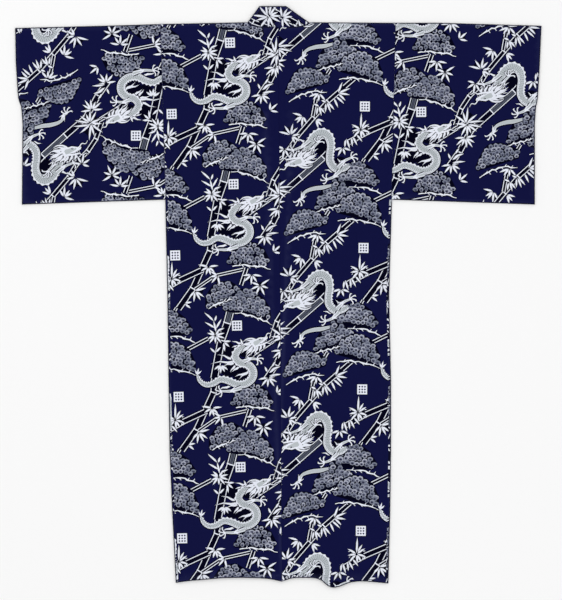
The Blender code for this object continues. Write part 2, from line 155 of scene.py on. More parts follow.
WAVES = table(
    "length turned phase height",
    (0.173, 12.0, 0.4, 0.00016), (0.129, 97.0, 2.1, 0.00014), (0.094, 51.0, 4.4, 0.00010),
    (0.067, 142.0, 1.3, 0.00008), (0.041, 79.0, 3.2, 0.00005),
)


# Lines of the cut, as plan points

def interpolate(rows, value, column, key="below"):
    """Reads a table's column between its rows."""
    for low, high in zip(rows, rows[1:]):
        start, end = getattr(low, key), getattr(high, key)
        if value <= end:
            share = max(0.0, (value - start) / (end - start))
            return getattr(low, column) * (1 - share) + getattr(high, column) * share
    return getattr(rows[-1], column)


def name_of(side):
    return "left" if side == LEFT else "right"


def shoulder_at(x):
    across = x - MOVE_X
    side = LEFT if across < 0 else RIGHT
    return SHOULDER_Y - interpolate(SHOULDER_DROPS, abs(across), name_of(side), key="across")


def body_edge(side, y):
    """X of the body's outer edge at a height."""
    return MOVE_X + side * interpolate(BODY_WIDTHS, SHOULDER_Y - y, name_of(side))


def sleeve_edge(side, y):
    return MOVE_X + side * interpolate(SLEEVE_ENDS, SHOULDER_Y - y, name_of(side))


def sleeve_bottom_at(side, x):
    return SLEEVE_SEAM_Y - SLEEVE_SLOPE * abs(x - body_edge(side, SLEEVE_SEAM_Y))


def centre_at(y):
    """X of the centre back seam at a height."""
    return MOVE_X + CENTRE_SEAM_LEAN * (SHOULDER_Y - y) / FRONT_HEM


def spaced(start, end):
    """Even values from start to end, about a step apart."""
    parts = max(1, round(abs(end - start) / EDGE_STEP))
    return [start + (end - start) * i / parts for i in range(parts + 1)]


def divided(points):
    """The same line with a point at least every step, and its own points kept."""
    line = [points[0]]
    for (ax, ay), (bx, by) in zip(points, points[1:]):
        parts = max(1, math.ceil(math.hypot(bx - ax, by - ay) / EDGE_STEP))
        line += [(ax + (bx - ax) * i / parts, ay + (by - ay) * i / parts) for i in range(1, parts + 1)]
    return line


def down(line_x, top, bottom):
    """A line that follows a function of the height, from top to bottom."""
    return [(line_x(y), y) for y in spaced(top, bottom)]


def shoulder_line(side, start, end):
    """Along the shoulder fold, moved out to the fold's own round."""
    spots = [MOVE_X + side * across for across in spaced(start, end)]
    return [(x, shoulder_at(x) + ROUND_OUT) for x in spots]


def seam_half(side):
    """Distance of the sleeve's seam from the centre at the shoulder."""
    return abs(body_edge(side, SHOULDER_Y) - MOVE_X)


def armhole_line(side):
    top = shoulder_line(side, NECK_HALF, seam_half(side))[-1]
    start = shoulder_at(body_edge(side, SHOULDER_Y))
    return [top] + down(lambda y: body_edge(side, y), start, SLEEVE_SEAM_Y - ROUND_OUT - GAP)[1:]


def side_line(side):
    """Along the side's fold, moved out to its round."""
    top = armhole_line(side)[-1][1]
    bottom = SHOULDER_Y - getattr(BACK_HEM[0], name_of(side))
    return down(lambda y: body_edge(side, y) + side * ROUND_OUT, top, bottom)


def back_hem_line(side):
    """From the side seam to the centre seam."""
    outer = side_line(side)[-1][0]
    line = []
    for row in BACK_HEM:
        y = SHOULDER_Y - getattr(row, name_of(side))
        inner = centre_at(y) + side * GAP / 2
        line.append((outer + (inner - outer) * row.share, y))
    return divided(softened(softened(line)))


def softened(line):
    """Cuts the corners of a line, and keeps its ends."""
    cut = []
    for (ax, ay), (bx, by) in zip(line, line[1:]):
        cut.append((ax * 0.75 + bx * 0.25, ay * 0.75 + by * 0.25))
        cut.append((ax * 0.25 + bx * 0.75, ay * 0.25 + by * 0.75))
    return [line[0]] + cut[1:-2] + [line[-1]]


def neck_dip(x):
    """Y of the back neck's cut."""
    return NECK_SHOULDER_Y - NECK_DIP * (1 - ((x - MOVE_X) / NECK_HALF) ** 4)


def back_neck_line(side):
    """From the centre seam to the shoulder."""
    start = side * GAP / 2
    spots = [MOVE_X + start + (side * NECK_HALF - start) * i / NECK_PARTS for i in range(NECK_PARTS)]
    return [(x, neck_dip(x)) for x in spots] + [shoulder_line(side, NECK_HALF, seam_half(side))[0]]


def collar_seam_line(side, moved):
    """The seam between the front and the collar, from the shoulder down, moved towards the neck."""
    top = (MOVE_X + side * (NECK_HALF - moved), NECK_SHOULDER_Y)
    end = (MOVE_X - side * (COLLAR_END_REACH - COLLAR_WIDTH + moved), SHOULDER_Y - COLLAR_END)
    return top, end


def collar_seam_at(side, y, moved):
    (ax, ay), (bx, by) = collar_seam_line(side, moved)
    return ax + (bx - ax) * (y - ay) / (by - ay)


def collar_free_end(side):
    """The lower corner of the collar's free edge."""
    (ax, ay), (bx, by) = collar_seam_line(side, 0.0)
    length = math.hypot(bx - ax, by - ay)
    return bx - side * COLLAR_WIDTH * (ay - by) / length, by + COLLAR_WIDTH * abs(bx - ax) / length


# Plan points against lines

def to_segment(points, start, end):
    """How far each point is from a straight line between two others."""
    (ax, ay), (bx, by) = start, end
    x, y = points[:, 0] - ax, points[:, 1] - ay
    length = (bx - ax) ** 2 + (by - ay) ** 2
    share = np.clip((x * (bx - ax) + y * (by - ay)) / length, 0, 1)
    return np.hypot(x - share * (bx - ax), y - share * (by - ay))


def inside_and_nearest(loop, points):
    """For each point, whether a closed line goes round it, and how far it is from the line."""
    x, y = points[:, 0], points[:, 1]
    inside = np.zeros(len(points), dtype=bool)
    nearest = np.full(len(points), np.inf)
    for (ax, ay), (bx, by) in zip(loop, np.roll(loop, -1, axis=0)):
        if ay != by:
            inside ^= ((ay > y) != (by > y)) & (x < ax + (bx - ax) * (y - ay) / (by - ay))
        nearest = np.minimum(nearest, to_segment(points, (ax, ay), (bx, by)))
    return inside, nearest


def well_inside(loop, points, room):
    """The points that lie inside a closed line, at least a distance from it."""
    inside, nearest = inside_and_nearest(loop, points)
    return points[inside & (nearest > room)]


def near_seams(points, seams):
    """Which points lie on one of the lines where a panel is sewn to another piece."""
    sewn = np.zeros(len(points), dtype=bool)
    for start, end in seams:
        sewn |= to_segment(points, start, end) < SEAM_REACH
    return sewn


# Heights of the layers, for arrays of plan points

def front_region(side):
    """All that one front covers: its sleeve, body, overlap and collar."""
    outer = sleeve_edge(side, SHOULDER_Y)
    collar_top = COLLAR_TOP_LEFT if side == LEFT else COLLAR_TOP_RIGHT
    low_y = SLEEVE_SEAM_Y - COLLAR_WIDTH
    hem_y = SHOULDER_Y - FRONT_HEM - COLLAR_WIDTH
    return [
        (outer, SHOULDER_Y),
        (outer, low_y),
        (body_edge(side, SLEEVE_SEAM_Y), low_y),
        (MOVE_X + side * FRONT_HALF, hem_y),
        (MOVE_X - side * OVERLAP_REACH, hem_y),
        collar_free_end(side),
        (MOVE_X + side * collar_top, SHOULDER_Y + COLLAR_STAND),
    ]


def cover(region, points):
    """1 over a region and a little past it, then smoothly down to 0."""
    inside, nearest = inside_and_nearest(region, points)
    past = np.where(inside, 0.0, nearest) - COVER_REACH
    share = np.clip(1 - past / COVER_FADE, 0, 1)
    return share * share * (3 - 2 * share)


def loft(points):
    """Height that the soft folds add."""
    height = np.zeros(len(points))
    for ridge in RIDGES:
        cos, sin = math.cos(math.radians(ridge.turned)), math.sin(math.radians(ridge.turned))
        x, y = points[:, 0] - ridge.x, points[:, 1] - ridge.y
        along, across = (x * cos + y * sin) / ridge.half_length, (y * cos - x * sin) / ridge.half_width
        height += ridge.height * np.exp(-along * along - across * across)
    return height


def rumple(points):
    """The small unevenness of laid cotton."""
    height = np.zeros(len(points))
    for wave in WAVES:
        angle = math.radians(wave.turned)
        along = points[:, 0] * math.cos(angle) + points[:, 1] * math.sin(angle)
        height += wave.height * (1 + np.sin(along * 2 * math.pi / wave.length + wave.phase))
    return height


def back_seams():
    """The centre seam and the two armhole seams: each one's start, its direction and its length."""
    top, bottom = SHOULDER_Y - NECK_DIP, SHOULDER_Y - BACK_HEM[-1].right
    lines = [((centre_at(top), top), (centre_at(bottom), bottom))]
    for side in (LEFT, RIGHT):
        lines.append([(body_edge(side, y), y) for y in (SHOULDER_Y, SLEEVE_SEAM_Y)])
    for start, end in lines:
        length = math.dist(start, end)
        yield np.array(start), np.subtract(end, start) / length, length


def puckers(points):
    height = np.zeros(len(points))
    for start, way, length in back_seams():
        along = (points - start) @ way
        away = ((points - start) @ (-way[1], way[0]) / PUCKER_REACH) ** 2
        wave = 1 + np.sin(2 * math.pi * along / PUCKER_LENGTH + 2.4 * np.sin(along / PUCKER_DRIFT))
        height += PUCKER / 2 * wave * away * np.exp(1 - away) * ((along > 0) & (along < length))
    return height


def seam_grid(outline):
    """Closely set plan points beside the back's seams, inside an outline."""
    points = []
    for start, way, length in back_seams():
        for row, away in enumerate(SEAM_ROWS):
            for i in range(int(length / SEAM_STEP)):
                along = (i + 0.5 * (row % 2)) * SEAM_STEP
                points.append(start + way * along + (way[1] * away, -way[0] * away))
    return well_inside(outline, np.array(points), SEAM_ROOM)


REGIONS = {side: front_region(side) for side in (LEFT, RIGHT)}


def on_floor(points):
    return np.zeros(len(points))


def over_left_front(points):
    return LAYER * cover(REGIONS[LEFT], points)


def over_both_fronts(points):
    fronts = over_left_front(points) + LAYER * cover(REGIONS[RIGHT], points)
    return fronts + loft(points) + rumple(points) + puckers(points)


UNDERSIDES = {LEFT: on_floor, RIGHT: over_left_front}


# The print. Its places are steps of a chart, to the right of and below the chart's first ornament
CHART = 0.00266
REPEAT_WIDTH = 194
REPEAT_HEIGHT = 141.3

# Dyes, as linear colours
GROUND = (0.0050, 0.0060, 0.0480)
# NEAR_BLACK is the print's near-black dye, and also the painted shade on the cloth's free edges, folds and
# cut edges
NEAR_BLACK = (0.0004, 0.0005, 0.0080)
WHITE = (0.80, 0.83, 0.92)
PALE = (0.49, 0.53, 0.56)
SCALE_GREY = (0.13, 0.15, 0.19)
RIM_GREYS = ((0.40, 0.42, 0.51), (0.28, 0.30, 0.38), (0.19, 0.21, 0.28))
LOBE_GREY = (0.085, 0.092, 0.145)
BLOT = (0.006, 0.007, 0.025)

CLOUDS = table(
    "x y half_width half_height tilt",
    (127, -5, 23, 12, -5), (107, 16, 24, 12, 10), (130, 27, 24, 13.5, -14), (75, 42, 23, 11.5, 16),
    (14, 70, 21, 12.5, -6), (-12, 108, 21, 12.5, 10), (11, 118, 25, 13.5, -12),
)

# A gnarled bough under each cloud
BOUGHS = table(
    "x y end_x end_y arch",
    (119, 9, 152, 16, 2.5), (87, 34, 112, 27, 0.5), (108, 43, 152, 49, 4.0), (58, 66, 96, 56, 4.5),
    (-3, 82, 35, 86, 2.5), (-28, 124, -4, 115, 1.0), (-2, 129, 36, 142, 3.0),
)

# Bamboo canes, with a joint at each of their points. One length of a thick cane may be shaded
CANES = table(
    "width points shaded",
    (7.6, ((-3, -27), (-9.5, -3), (-16, 14), (-24, 52)), 0),
    (6.2, ((-24, 52), (-25, 66), (-43, 103), (-58, 123)), None),
    (6.2, ((103, -31), (93, -20), (70.5, 0), (50, 18), (38, 40), (28, 54)), 1),
    (4.4, ((47, 9), (18, 27), (9, 34)), None),
    (5.5, ((-34, 85), (-57, 95), (-78, 107)), None),
    (3.2, ((-41, 104), (-21, 91), (9, 85)), None),
    (4.6, ((124, 41), (97, 65), (83, 81), (67, 100), (56, 118), (48, 126), (40, 138), (34, 155)),
     None),
    (3.6, ((86, 58), (82, 80)), None),
    (3.6, ((-53, 24), (-29, 12)), None),
    (3.4, ((99, 33), (93, 43)), None),
    (4.0, ((11, 84), (5, 101)), None),
    (3.0, ((-60, 122), (-66, 132)), None),
)

# Sprays of bamboo leaves: the middle leaf's way, the fan's whole angle, and the leaves' number and length
SPRAYS = table(
    "x y turned fan leaves length",
    (-22, 9.5, -90, 290, 9, 9), (-14, 16, -30, 90, 3, 8), (-17, 39, -90, 130, 5, 7),
    (45, 12, 95, 100, 4, 15), (46, 13, -95, 200, 7, 11), (44, 26, -85, 190, 7, 10),
    (30, 53, -75, 200, 6, 9), (38, 69, 45, 90, 3, 9), (-27, 82, -95, 200, 6, 9), (-64, 91, -90, 210, 5, 9),
    (-18, 91, -150, 130, 4, 8), (-41, 106, -60, 150, 5, 10), (-52, 118, -5, 50, 2, 8),
    (16, 91, -95, 170, 5, 10), (24, 102, -90, 240, 6, 10), (60, 99, 100, 110, 4, 11),
    (61, 100, -20, 70, 3, 8), (54, 113, -100, 200, 5, 9), (88, 57, -110, 120, 4, 9),
    (107, 57, 15, 110, 4, 12), (72, 80, -130, 130, 5, 10), (85, 83, -40, 50, 3, 9),
    (130, 93, -90, 250, 7, 9), (112, 111, -95, 150, 4, 9),
)

# Leaves that hang one after another along a cane, and the long leaf on top of a spray
LEAVES = table(
    "x y turned length",
    (46, 11, 12, 17), (47, 13, -4, 14), (31, 51, 12, 13), (31, 48, 38, 9), (33, 45, 24, 10),
    (34, 42, 60, 7), (29, 47, 110, 6), (87, 71, -100, 8), (88, 70, -72, 10), (89, 71, -45, 8),
    (95, 67, -92, 9), (96, 66, -66, 11), (97, 66, -44, 10), (103, 62, -62, 10), (105, 60, -36, 11),
    (88, 70, 150, 6), (95, 66, 150, 5), (115, 103, -96, 8), (116, 102, -70, 11), (121, 101, -84, 9),
    (122, 100, -58, 10), (126, 98, -46, 9), (130, 92, 88, 16), (131, 91, 62, 9), (-21, 6, 100, 12),
    (-23, -5, 132, 13), (-22, 2, 143, 12), (-22, -5, 74, 6), (-21, 2.5, 62, 11), (-20, 5, 27, 8),
    (-22.5, 26.5, 131, 7), (-21.5, 26, 50, 7),
)

CURLED_DRAGON = table(
    "x y half_width",
    (18.5, 18.5, 2.6), (10, 20.5, 3.1), (1.5, 24, 3.4), (-2.5, 31, 3.6), (2, 37, 3.7), (9, 38.5, 3.9),
    (14.5, 44, 4.1), (14.5, 52, 4.0), (8, 58, 3.8), (-1, 59, 3.6), (-10, 55, 3.4), (-18, 53.5, 3.1),
    (-25, 57.5, 2.7), (-32.5, 58.5, 2.3), (-38.5, 54.5, 1.8), (-41, 48, 1.0),
)
ARCHED_DRAGON = table(
    "x y half_width",
    (69, 125, 3.8), (75.5, 118.5, 4.6), (79, 110, 4.8), (83.5, 101.5, 4.9), (91, 96.8, 4.9),
    (98, 100.5, 4.6), (100.3, 109, 3.8), (99.3, 118, 3.7), (99.8, 126, 3.8), (105, 132, 3.8),
    (113, 132, 3.3), (119, 128.5, 2.2),
)
DRAGON_TAIL = table(
    "x y half_width",
    (101, 149, 1.3), (93, 151, 2.0), (85, 152, 2.0), (77, 154.5, 1.6), (71.5, 159, 1.1),
)

# Dragons' feet: where the wrist is, the way it points, and the leg's start
FEET = table(
    "x y turned from_x from_y",
    (19, 34, -12, 6, 36), (-17, 65, 195, 3, 62), (63, 114, 195, 79, 104), (88, 106, 75, 80, 119),
    (121, 121, 20, 108, 131), (97, 143, 170, 110, 134), (69, 163.5, -80, 73, 157.5),
)

# Flames of fur on the dragons' necks and backs
FLAMES = table(
    "x y turned length",
    (5, 18, 108, 5), (5, 18.5, 158, 11), (2, 20, 185, 8), (-4, 33.5, 156, 17), (-3, 35.5, 178, 24),
    (-3, 37, 188, 12), (1, 41, 210, 9), (8, 47.5, 190, 12), (11, 45.5, 211, 13), (-3, 40, 225, 8),
    (-20, 56, 200, 11), (-8, 60, 190, 13), (2, 62, 200, 12), (77, 106, 160, 12), (75, 111, 185, 13),
    (73, 116, 165, 11), (72, 120, 150, 10), (78, 117, 20, 11), (75, 122, -8, 12), (72, 126, -20, 11),
    (80, 112, 35, 9), (104, 135, 165, 10), (112, 129, 120, 9),
)

# Black fill between a dragon's coils
FILLS = table(
    "x y half_width half_height",
    (4, 48, 10, 8), (-9, 44, 9, 7), (-10, 24, 7, 9), (8, 28, 7, 4), (91, 110, 7, 10), (110, 124, 6, 4),
)

ORNAMENT_SIZE = 10.0
ORNAMENT_PITCH = 2.7
ORNAMENTS = ((0, 0), (134, -71.6))

LEAF_DROOP = 0.11
SPRAY_SHADE = 0.78          # how far towards the leaves' tips the dark between them reaches
SPRAY_WOBBLE = 14           # degrees that a leaf may be out of its even place
SPRAY_HEART = 0.8           # its leaves start this far from its middle
SPRAY_LEAF = 1.15           # half the width of a leaf
CANE_SHADE = 1.1            # the dark beside a cane
CANE_RING = 0.55            # half the width of the ring at a joint
BOUGH_KNOTS = 12
BOUGH_TWIGS = (2, 3, 5, 7, 8, 10)     # the knots that a twig grows from
TUFT_ACROSS, TUFT_DOWN = 4.6, 3.9
PLAIN_SPREAD = 1.5          # how much coarser the tufts are on the cloth that faces down
TUFT_LAYERS = table(
    "wide high sides turns lean sink",
    (1.0, 1.0, 6, 1, 0.0, 0.0), (0.66, 0.62, 5, 3, 0.3, 0.4), (0.34, 0.32, 4, 5, 1.0, 0.7),
)
SMALLEST_AREA = 1e-8        # of a dye, in square metres

# A dragon's head, its snout to the right, in chart steps from the end of its neck
SKULL = ((-2.5, -3.2), (2.0, -3.6), (5.5, -2.6), (9.0, -1.9), (12.4, -1.4), (13.4, 0.0), (12.6, 1.5),
         (10.6, 1.1), (8.4, 2.3), (6.0, 3.4), (3.0, 3.3), (-1.0, 3.9), (-3.2, 2.2))
JAW = ((1.0, -3.2), (5.0, -4.4), (9.5, -4.7), (11.4, -3.7), (9.0, -3.3), (5.5, -2.7), (2.0, -1.9))
MOUTH = ((2.4, -1.7), (7.0, -2.5), (11.8, -2.0), (10.8, -3.3), (5.5, -2.9))
TEETH = (5.6, 7.4, 9.2, 10.8)
MANE = table(
    "x y turned length",
    (-2.0, 3.2, 165, 10.0), (-3.0, 1.2, 178, 11.0), (-3.0, -1.0, 190, 9.5), (-1.0, -3.0, 202, 9.0),
    (0.5, 3.4, 148, 7.5), (1.0, -3.6, 212, 8.0), (-4.0, 2.4, 158, 8.0), (-4.0, -2.2, 196, 10.0),
    (4.2, -4.2, 220, 6.5), (7.4, -4.6, 230, 5.0), (-6.0, 0.4, 184, 9.5),
)
HORN = ((2.8, 2.6, 0.75), (0.0, 5.8, 0.7), (-4.6, 7.6, 0.5), (-8.4, 7.0, 0.15))
WHISKER = ((11.8, 0.6, 0.45), (14.8, 2.8, 0.4), (17.6, 1.6, 0.32), (20.2, 3.6, 0.12))
LOWER_WHISKER = ((10.2, -4.2, 0.4), (12.6, -6.4, 0.36), (15.4, -5.8, 0.28), (17.2, -7.4, 0.1))

# Where the heads are, how far they are turned, and their size
HEADS = ((17.5, 18.8, 28, 1.08), (70.0, 124.4, 199, 1.22))
TAIL_END = (-41, 48)
TAIL_TUFT = ((40, 6.0), (75, 7.0), (110, 5.0))

# Edges and shading of the cloth
SLOPE_STEP = 0.0006         # from a point to where its slope is measured
EDGE_DROP = 0.35            # of the thickness, from a face to its free edge
ROUND_STEP = 0.35           # the first step of an edge's rounding, as a share of its reach
ROUND_RISE = 0.76           # and of its height
STRIP_PAST = 0.004          # the strip of wrapped print reaches this far past the side's fold
WEAR = 0.35                 # how far the dye has gone at an edge
WEAR_REACH = 0.010
THREAD = 0.0008
SEWING_THREAD = 0.0003
WORN_BLUE = (0.055, 0.062, 0.150, 1.0)
THREAD_BLUE = (0.020, 0.023, 0.100, 1.0)
STITCH_LENGTH = 0.0024
THREAD_RADIUS = 0.00022
CUFF_TOP = 0.02

# The photo's size, the metres to one of its pixels, and the middles of its frame and of the garment in it
PHOTO_HEIGHT = 600
METRES_A_PIXEL = 0.002658
PHOTO_CENTRE = (281.0, 300.0)
GARMENT_CENTRE = (278.3, 296.8)
CAMERA_HEIGHT = 9.0


# Shapes of the print, drawn with y up and in steps of the chart

def signed_area(points):
    x, y = np.array(points).T
    return 0.5 * float(np.sum(x * np.roll(y, -1) - np.roll(x, -1) * y))


def counterclockwise(points):
    points = [tuple(p) for p in points]
    return points if signed_area(points) > 0 else points[::-1]


def at(shape, x, y, degrees=0.0):
    """A shape turned and set at a chart place, whose y runs down."""
    cos, sin = math.cos(math.radians(degrees)), math.sin(math.radians(degrees))
    return [(x + px * cos - py * sin, y - px * sin - py * cos) for px, py in shape]


def shifted(shape, x, y):
    return [(px + x, py + y) for px, py in shape]


def scaled(shape, x, y):
    return [(px * x, py * y) for px, py in shape]


def round_shape(radius_x, radius_y, sides, start=0.0):
    angles = [start + 2 * math.pi * i / sides for i in range(sides)]
    return [(radius_x * math.cos(a), radius_y * math.sin(a)) for a in angles]


def smooth(rows, steps):
    """Points of a curve through rows of equal length, each with all its values smoothed."""
    rows = np.array(rows, dtype=float)
    padded = np.vstack([2 * rows[0] - rows[1], rows, 2 * rows[-1] - rows[-2]])
    line = []
    for a, b, c, d in zip(padded, padded[1:], padded[2:], padded[3:]):
        for i in range(steps):
            t = i / steps
            line.append(0.5 * (2 * b + (c - a) * t + (2 * a - 5 * b + 4 * c - d) * t ** 2
                               + (3 * b - 3 * c + d - a) * t ** 3))
    return np.array(line + [rows[-1]])


def ways_along(line):
    """A line's points, with the directions along it and to its left."""
    points = np.array(line, dtype=float)[:, :2]
    ways = np.gradient(points, axis=0)
    ways /= np.linalg.norm(ways, axis=1)[:, None]
    return points, ways, np.column_stack([-ways[:, 1], ways[:, 0]])


def band_edges(line, half_widths):
    """The left and right edges of a band along a line."""
    points, _, across = ways_along(line)
    across = across * np.broadcast_to(half_widths, len(points))[:, None]
    return points + across, points - across


def hull(points):
    """The convex outline round a few points, counterclockwise."""
    points = sorted(set(points))
    sides = []
    for run in (points, points[::-1]):
        side = []
        for x, y in run:
            while len(side) > 1:
                (ax, ay), (bx, by) = side[-2:]
                if (bx - ax) * (y - ay) - (by - ay) * (x - ax) > 1e-9:
                    break
                side.pop()
            side.append((x, y))
        sides += side[:-1]
    return sides


def band(dye, line, half_widths):
    """A band as a row of convex areas."""
    left, right = band_edges(line, half_widths)
    corners = zip(left, left[1:], right[1:], right)
    return [(dye, hull([tuple(corner) for corner in four])) for four in corners]


def unevenly(*values):
    """A steady number from 0 to 1 that looks uneven from one place to the next."""
    mixed = math.sin(sum(value * weight for value, weight in zip(values, (12.9898, 78.233, 37.719))))
    return mixed * 43758.5453 - math.floor(mixed * 43758.5453)


def leaf_shape(length, half_width, way):
    """A bamboo leaf from its stem to its long point, drooping a little if it points sideways."""
    bend = -LEAF_DROOP * length * math.cos(math.radians(way))
    upper = [(0.28, 0.85), (0.62, 0.80)]
    near = [(length * s, -half_width * w + bend * s * s) for s, w in upper]
    far = [(length * s, half_width * w + bend * s * s) for s, w in upper]
    return [(0.0, 0.0)] + near + [(length, bend)] + far[::-1]


def draw_spray(spray, plain):
    """A fan of leaves with dark between them."""
    areas = []
    for i in range(spray.leaves):
        share = i / (spray.leaves - 1) - 0.5
        way = spray.turned + share * spray.fan + (unevenly(spray.x, spray.y, i) - 0.5) * SPRAY_WOBBLE
        length = spray.length * (0.78 + 0.34 * unevenly(spray.y, i, spray.x))
        start = at([(SPRAY_HEART, 0)], spray.x, spray.y, way)[0]
        areas.append((WHITE, at(leaf_shape(length, SPRAY_LEAF, way), *start, way)))
    if plain:
        return areas
    near = 1 - SPRAY_SHADE
    around = [(x * SPRAY_SHADE + spray.x * near, y * SPRAY_SHADE + spray.y * near)
              for x, y in (shape[3] for _, shape in areas)]
    return [(NEAR_BLACK, hull(around + [(spray.x, spray.y)]))] + areas


def draw_leaves():
    areas = []
    for dye, more, half in ((NEAR_BLACK, 1, 1.9), (WHITE, 0, 1.1)):
        for leaf in LEAVES:
            shape = leaf_shape(leaf.length + more, half, leaf.turned)
            areas.append((dye, at(shape, leaf.x, leaf.y, leaf.turned)))
    return areas


def draw_cane(cane):
    """Two light lines with dark between them, and a light ring at each joint."""
    line = np.array(cane.points, dtype=float)
    half = cane.width / 2
    rim = min(0.78, 0.25 * cane.width)
    areas = []
    for dye, width in ((NEAR_BLACK, half + CANE_SHADE), (WHITE, half), (NEAR_BLACK, half - rim)):
        areas += band(dye, line, width)
    if cane.shaded is not None:
        for shift, grey in ((-0.36, SCALE_GREY), (0.0, LOBE_GREY), (0.36, SCALE_GREY)):
            streak, _ = band_edges(line[cane.shaded:cane.shaded + 2], half * shift)
            areas += band(grey, streak, 0.11 * half)
    left, right = band_edges(line, half * 1.12)
    for end, middle, other in list(zip(left, line, right))[1:-1]:
        areas += band(WHITE, [end, (middle + end) / 2 + 0.5, (middle + other) / 2 + 0.5, other], CANE_RING)
    return areas


def draw_bough(bough):
    """A light knotty line that arches a little, thick in its middle, with a few twigs."""
    line, widths = [], []
    for i in range(BOUGH_KNOTS + 1):
        share = i / BOUGH_KNOTS
        swell = math.sin(math.pi * share)
        kink = (unevenly(bough.x, i, 3) - 0.5) * 1.8 * (0 < i < BOUGH_KNOTS)
        line.append((bough.x + (bough.end_x - bough.x) * share,
                     bough.y + (bough.end_y - bough.y) * share - bough.arch * swell + kink))
        widths.append((0.30 + 0.75 * unevenly(bough.y, i, 7)) * (0.45 + 0.55 * swell))
    areas = band(NEAR_BLACK, line, [width + 1.0 for width in widths]) + band(WHITE, line, widths)
    for i in BOUGH_TWIGS:
        areas += band(WHITE, [line[i], (line[i][0] + 1.7, line[i][1] - 2.4 * (-1) ** i)], [0.45, 0.25])
    return areas


def cloud_tufts(cloud, spread):
    """Centres of a cloud's round tufts, from its top row down, with its ends a little lower."""
    room = 2 * cloud.half_height - 8
    rows = max(3, round(room / TUFT_DOWN / spread) + 1)
    tufts = []
    for row in range(rows):
        share = row / (rows - 1)
        half = (cloud.half_width - 2) * (0.42 + 0.58 * math.sin(share * math.pi / 2))
        count = max(2, round(2 * half / TUFT_ACROSS / spread))
        for i in range(count):
            across = (i + 0.5 * (row % 2)) / (count - 0.5) * 2 - 1
            x = across * half + (unevenly(cloud.x, row, i) - 0.5) * 1.9
            y = cloud.half_height - 2.7 - share * room - 2.6 * across * across
            tufts.append((x, y + (unevenly(cloud.y, i, row) - 0.5) * 1.7))
    return tufts


def draw_cloud(cloud, plain):
    """A pine's needle cloud: rows of round tufts, each over the row above."""
    spread = PLAIN_SPREAD if plain else 1.0
    tufts = cloud_tufts(cloud, spread)
    reach = 2.2 if plain else 3.3
    dark = [corner for x, y in tufts for corner in shifted(round_shape(reach, reach, 6), x, y - 0.2)]
    shapes = [(NEAR_BLACK, hull(dark))]
    for x, y in tufts:
        turn = unevenly(x, y, 1)
        size = (2.10 + 0.65 * turn) * spread
        lean = unevenly(y, x, 2) - 0.5
        wide, high = size * (1.12 + 0.4 * lean), size * (0.95 - 0.3 * lean)
        rim_grey = RIM_GREYS[int(3 * unevenly(x, 5, y))]
        for dye, layer in zip((LOBE_GREY,) if plain else (rim_grey, LOBE_GREY, BLOT), TUFT_LAYERS):
            shape = round_shape(wide * layer.wide, high * layer.high, layer.sides, turn * layer.turns)
            shapes.append((dye, shifted(shape, x + layer.lean * lean, y - layer.sink)))
    return [(dye, at(shape, cloud.x, cloud.y, cloud.tilt)) for dye, shape in shapes]


def draw_ornament(x, y):
    """A light square with a lattice of small diamonds."""
    areas = []
    for dye, share in ((NEAR_BLACK, 1.55), (WHITE, 1.40)):
        half = ORNAMENT_SIZE / 2 * share
        areas.append((dye, at(round_shape(half, half, 4, math.pi / 4), x, y)))
    for row in range(-1, 2):
        for column in range(-1, 2):
            diamond = shifted(round_shape(1.05, 1.05, 4), column * ORNAMENT_PITCH, row * ORNAMENT_PITCH)
            areas.append((GROUND, at(diamond, x, y)))
    return areas


def draw_scales(line, half_widths):
    """Small marks in rows across a body, each row shifted by half a mark."""
    areas = []
    points, ways, across = ways_along(line)
    for i in range(1, len(points) - 1):
        count = int(2 * half_widths[i] / 1.9)
        for j in range(count):
            place = (j + 0.25 + 0.5 * (i % 2)) / count * 1.5 - 0.85
            if abs(place) <= 0.78:
                centre = points[i] + across[i] * half_widths[i] * place
                side = across[i] * 0.62
                mark = (centre - side, centre + ways[i] * 0.80, centre + side)
                areas.append((SCALE_GREY, [tuple(corner) for corner in mark]))
    return areas


def draw_body(bends, back, plain):
    """A dragon's body with a dark surround: spines on its back's side, 0 or 1, a belly line and scales."""
    line = smooth([(b.x, b.y, b.half_width * 0.93) for b in bends], 5)
    half = line[:, 2]
    body = band(WHITE, line, half) + band(PALE, line, half * 0.84)
    areas = band(NEAR_BLACK, line, half + 1.1)
    if plain:
        return areas + body
    spine, tips = band_edges(line, half)[back], band_edges(line, half + 1.3)[back]
    for i in range(0, len(line) - 2, 2):
        areas.append((WHITE, [tuple(spine[i]), tuple(tips[i + 1]), tuple(spine[i + 2])]))
    belly = band_edges(line, half * 0.55)[1 - back]
    return areas + body + band(WHITE, belly, 0.28) + draw_scales(line, half * 0.9)


def flame_shape(length, half_width):
    """A lock of fur that sways once on its way to a fine tip."""
    spine = ((0.0, 0.0, 0.8), (0.30, 0.06, 1.0), (0.62, 0.02, 0.55))
    upper = [(length * x, length * y + half_width * w) for x, y, w in spine]
    lower = [(length * x, length * y - half_width * w) for x, y, w in spine]
    return lower + [(length, length * 0.12)] + upper[::-1]


def draw_flames():
    areas = []
    for dye, more, half in ((NEAR_BLACK, 1, 1.8), (WHITE, 0, 1.05)):
        areas += [(dye, at(flame_shape(f.length + more, half), f.x, f.y, f.turned)) for f in FLAMES]
    return areas


def toe_shape(reach, swell):
    """A hooked toe, wider by a swell all round."""
    return [(0.0, -0.6 - swell), (reach * 0.5, -0.1 - swell), (reach * 0.8, -0.5 - swell),
            (reach * 1.02 + swell, -2.2 - swell), (reach * 1.08 + swell, -0.2 + swell),
            (reach * 0.8, 0.6 + swell), (reach * 0.4, 0.9 + swell), (0.0, 0.6 + swell)]


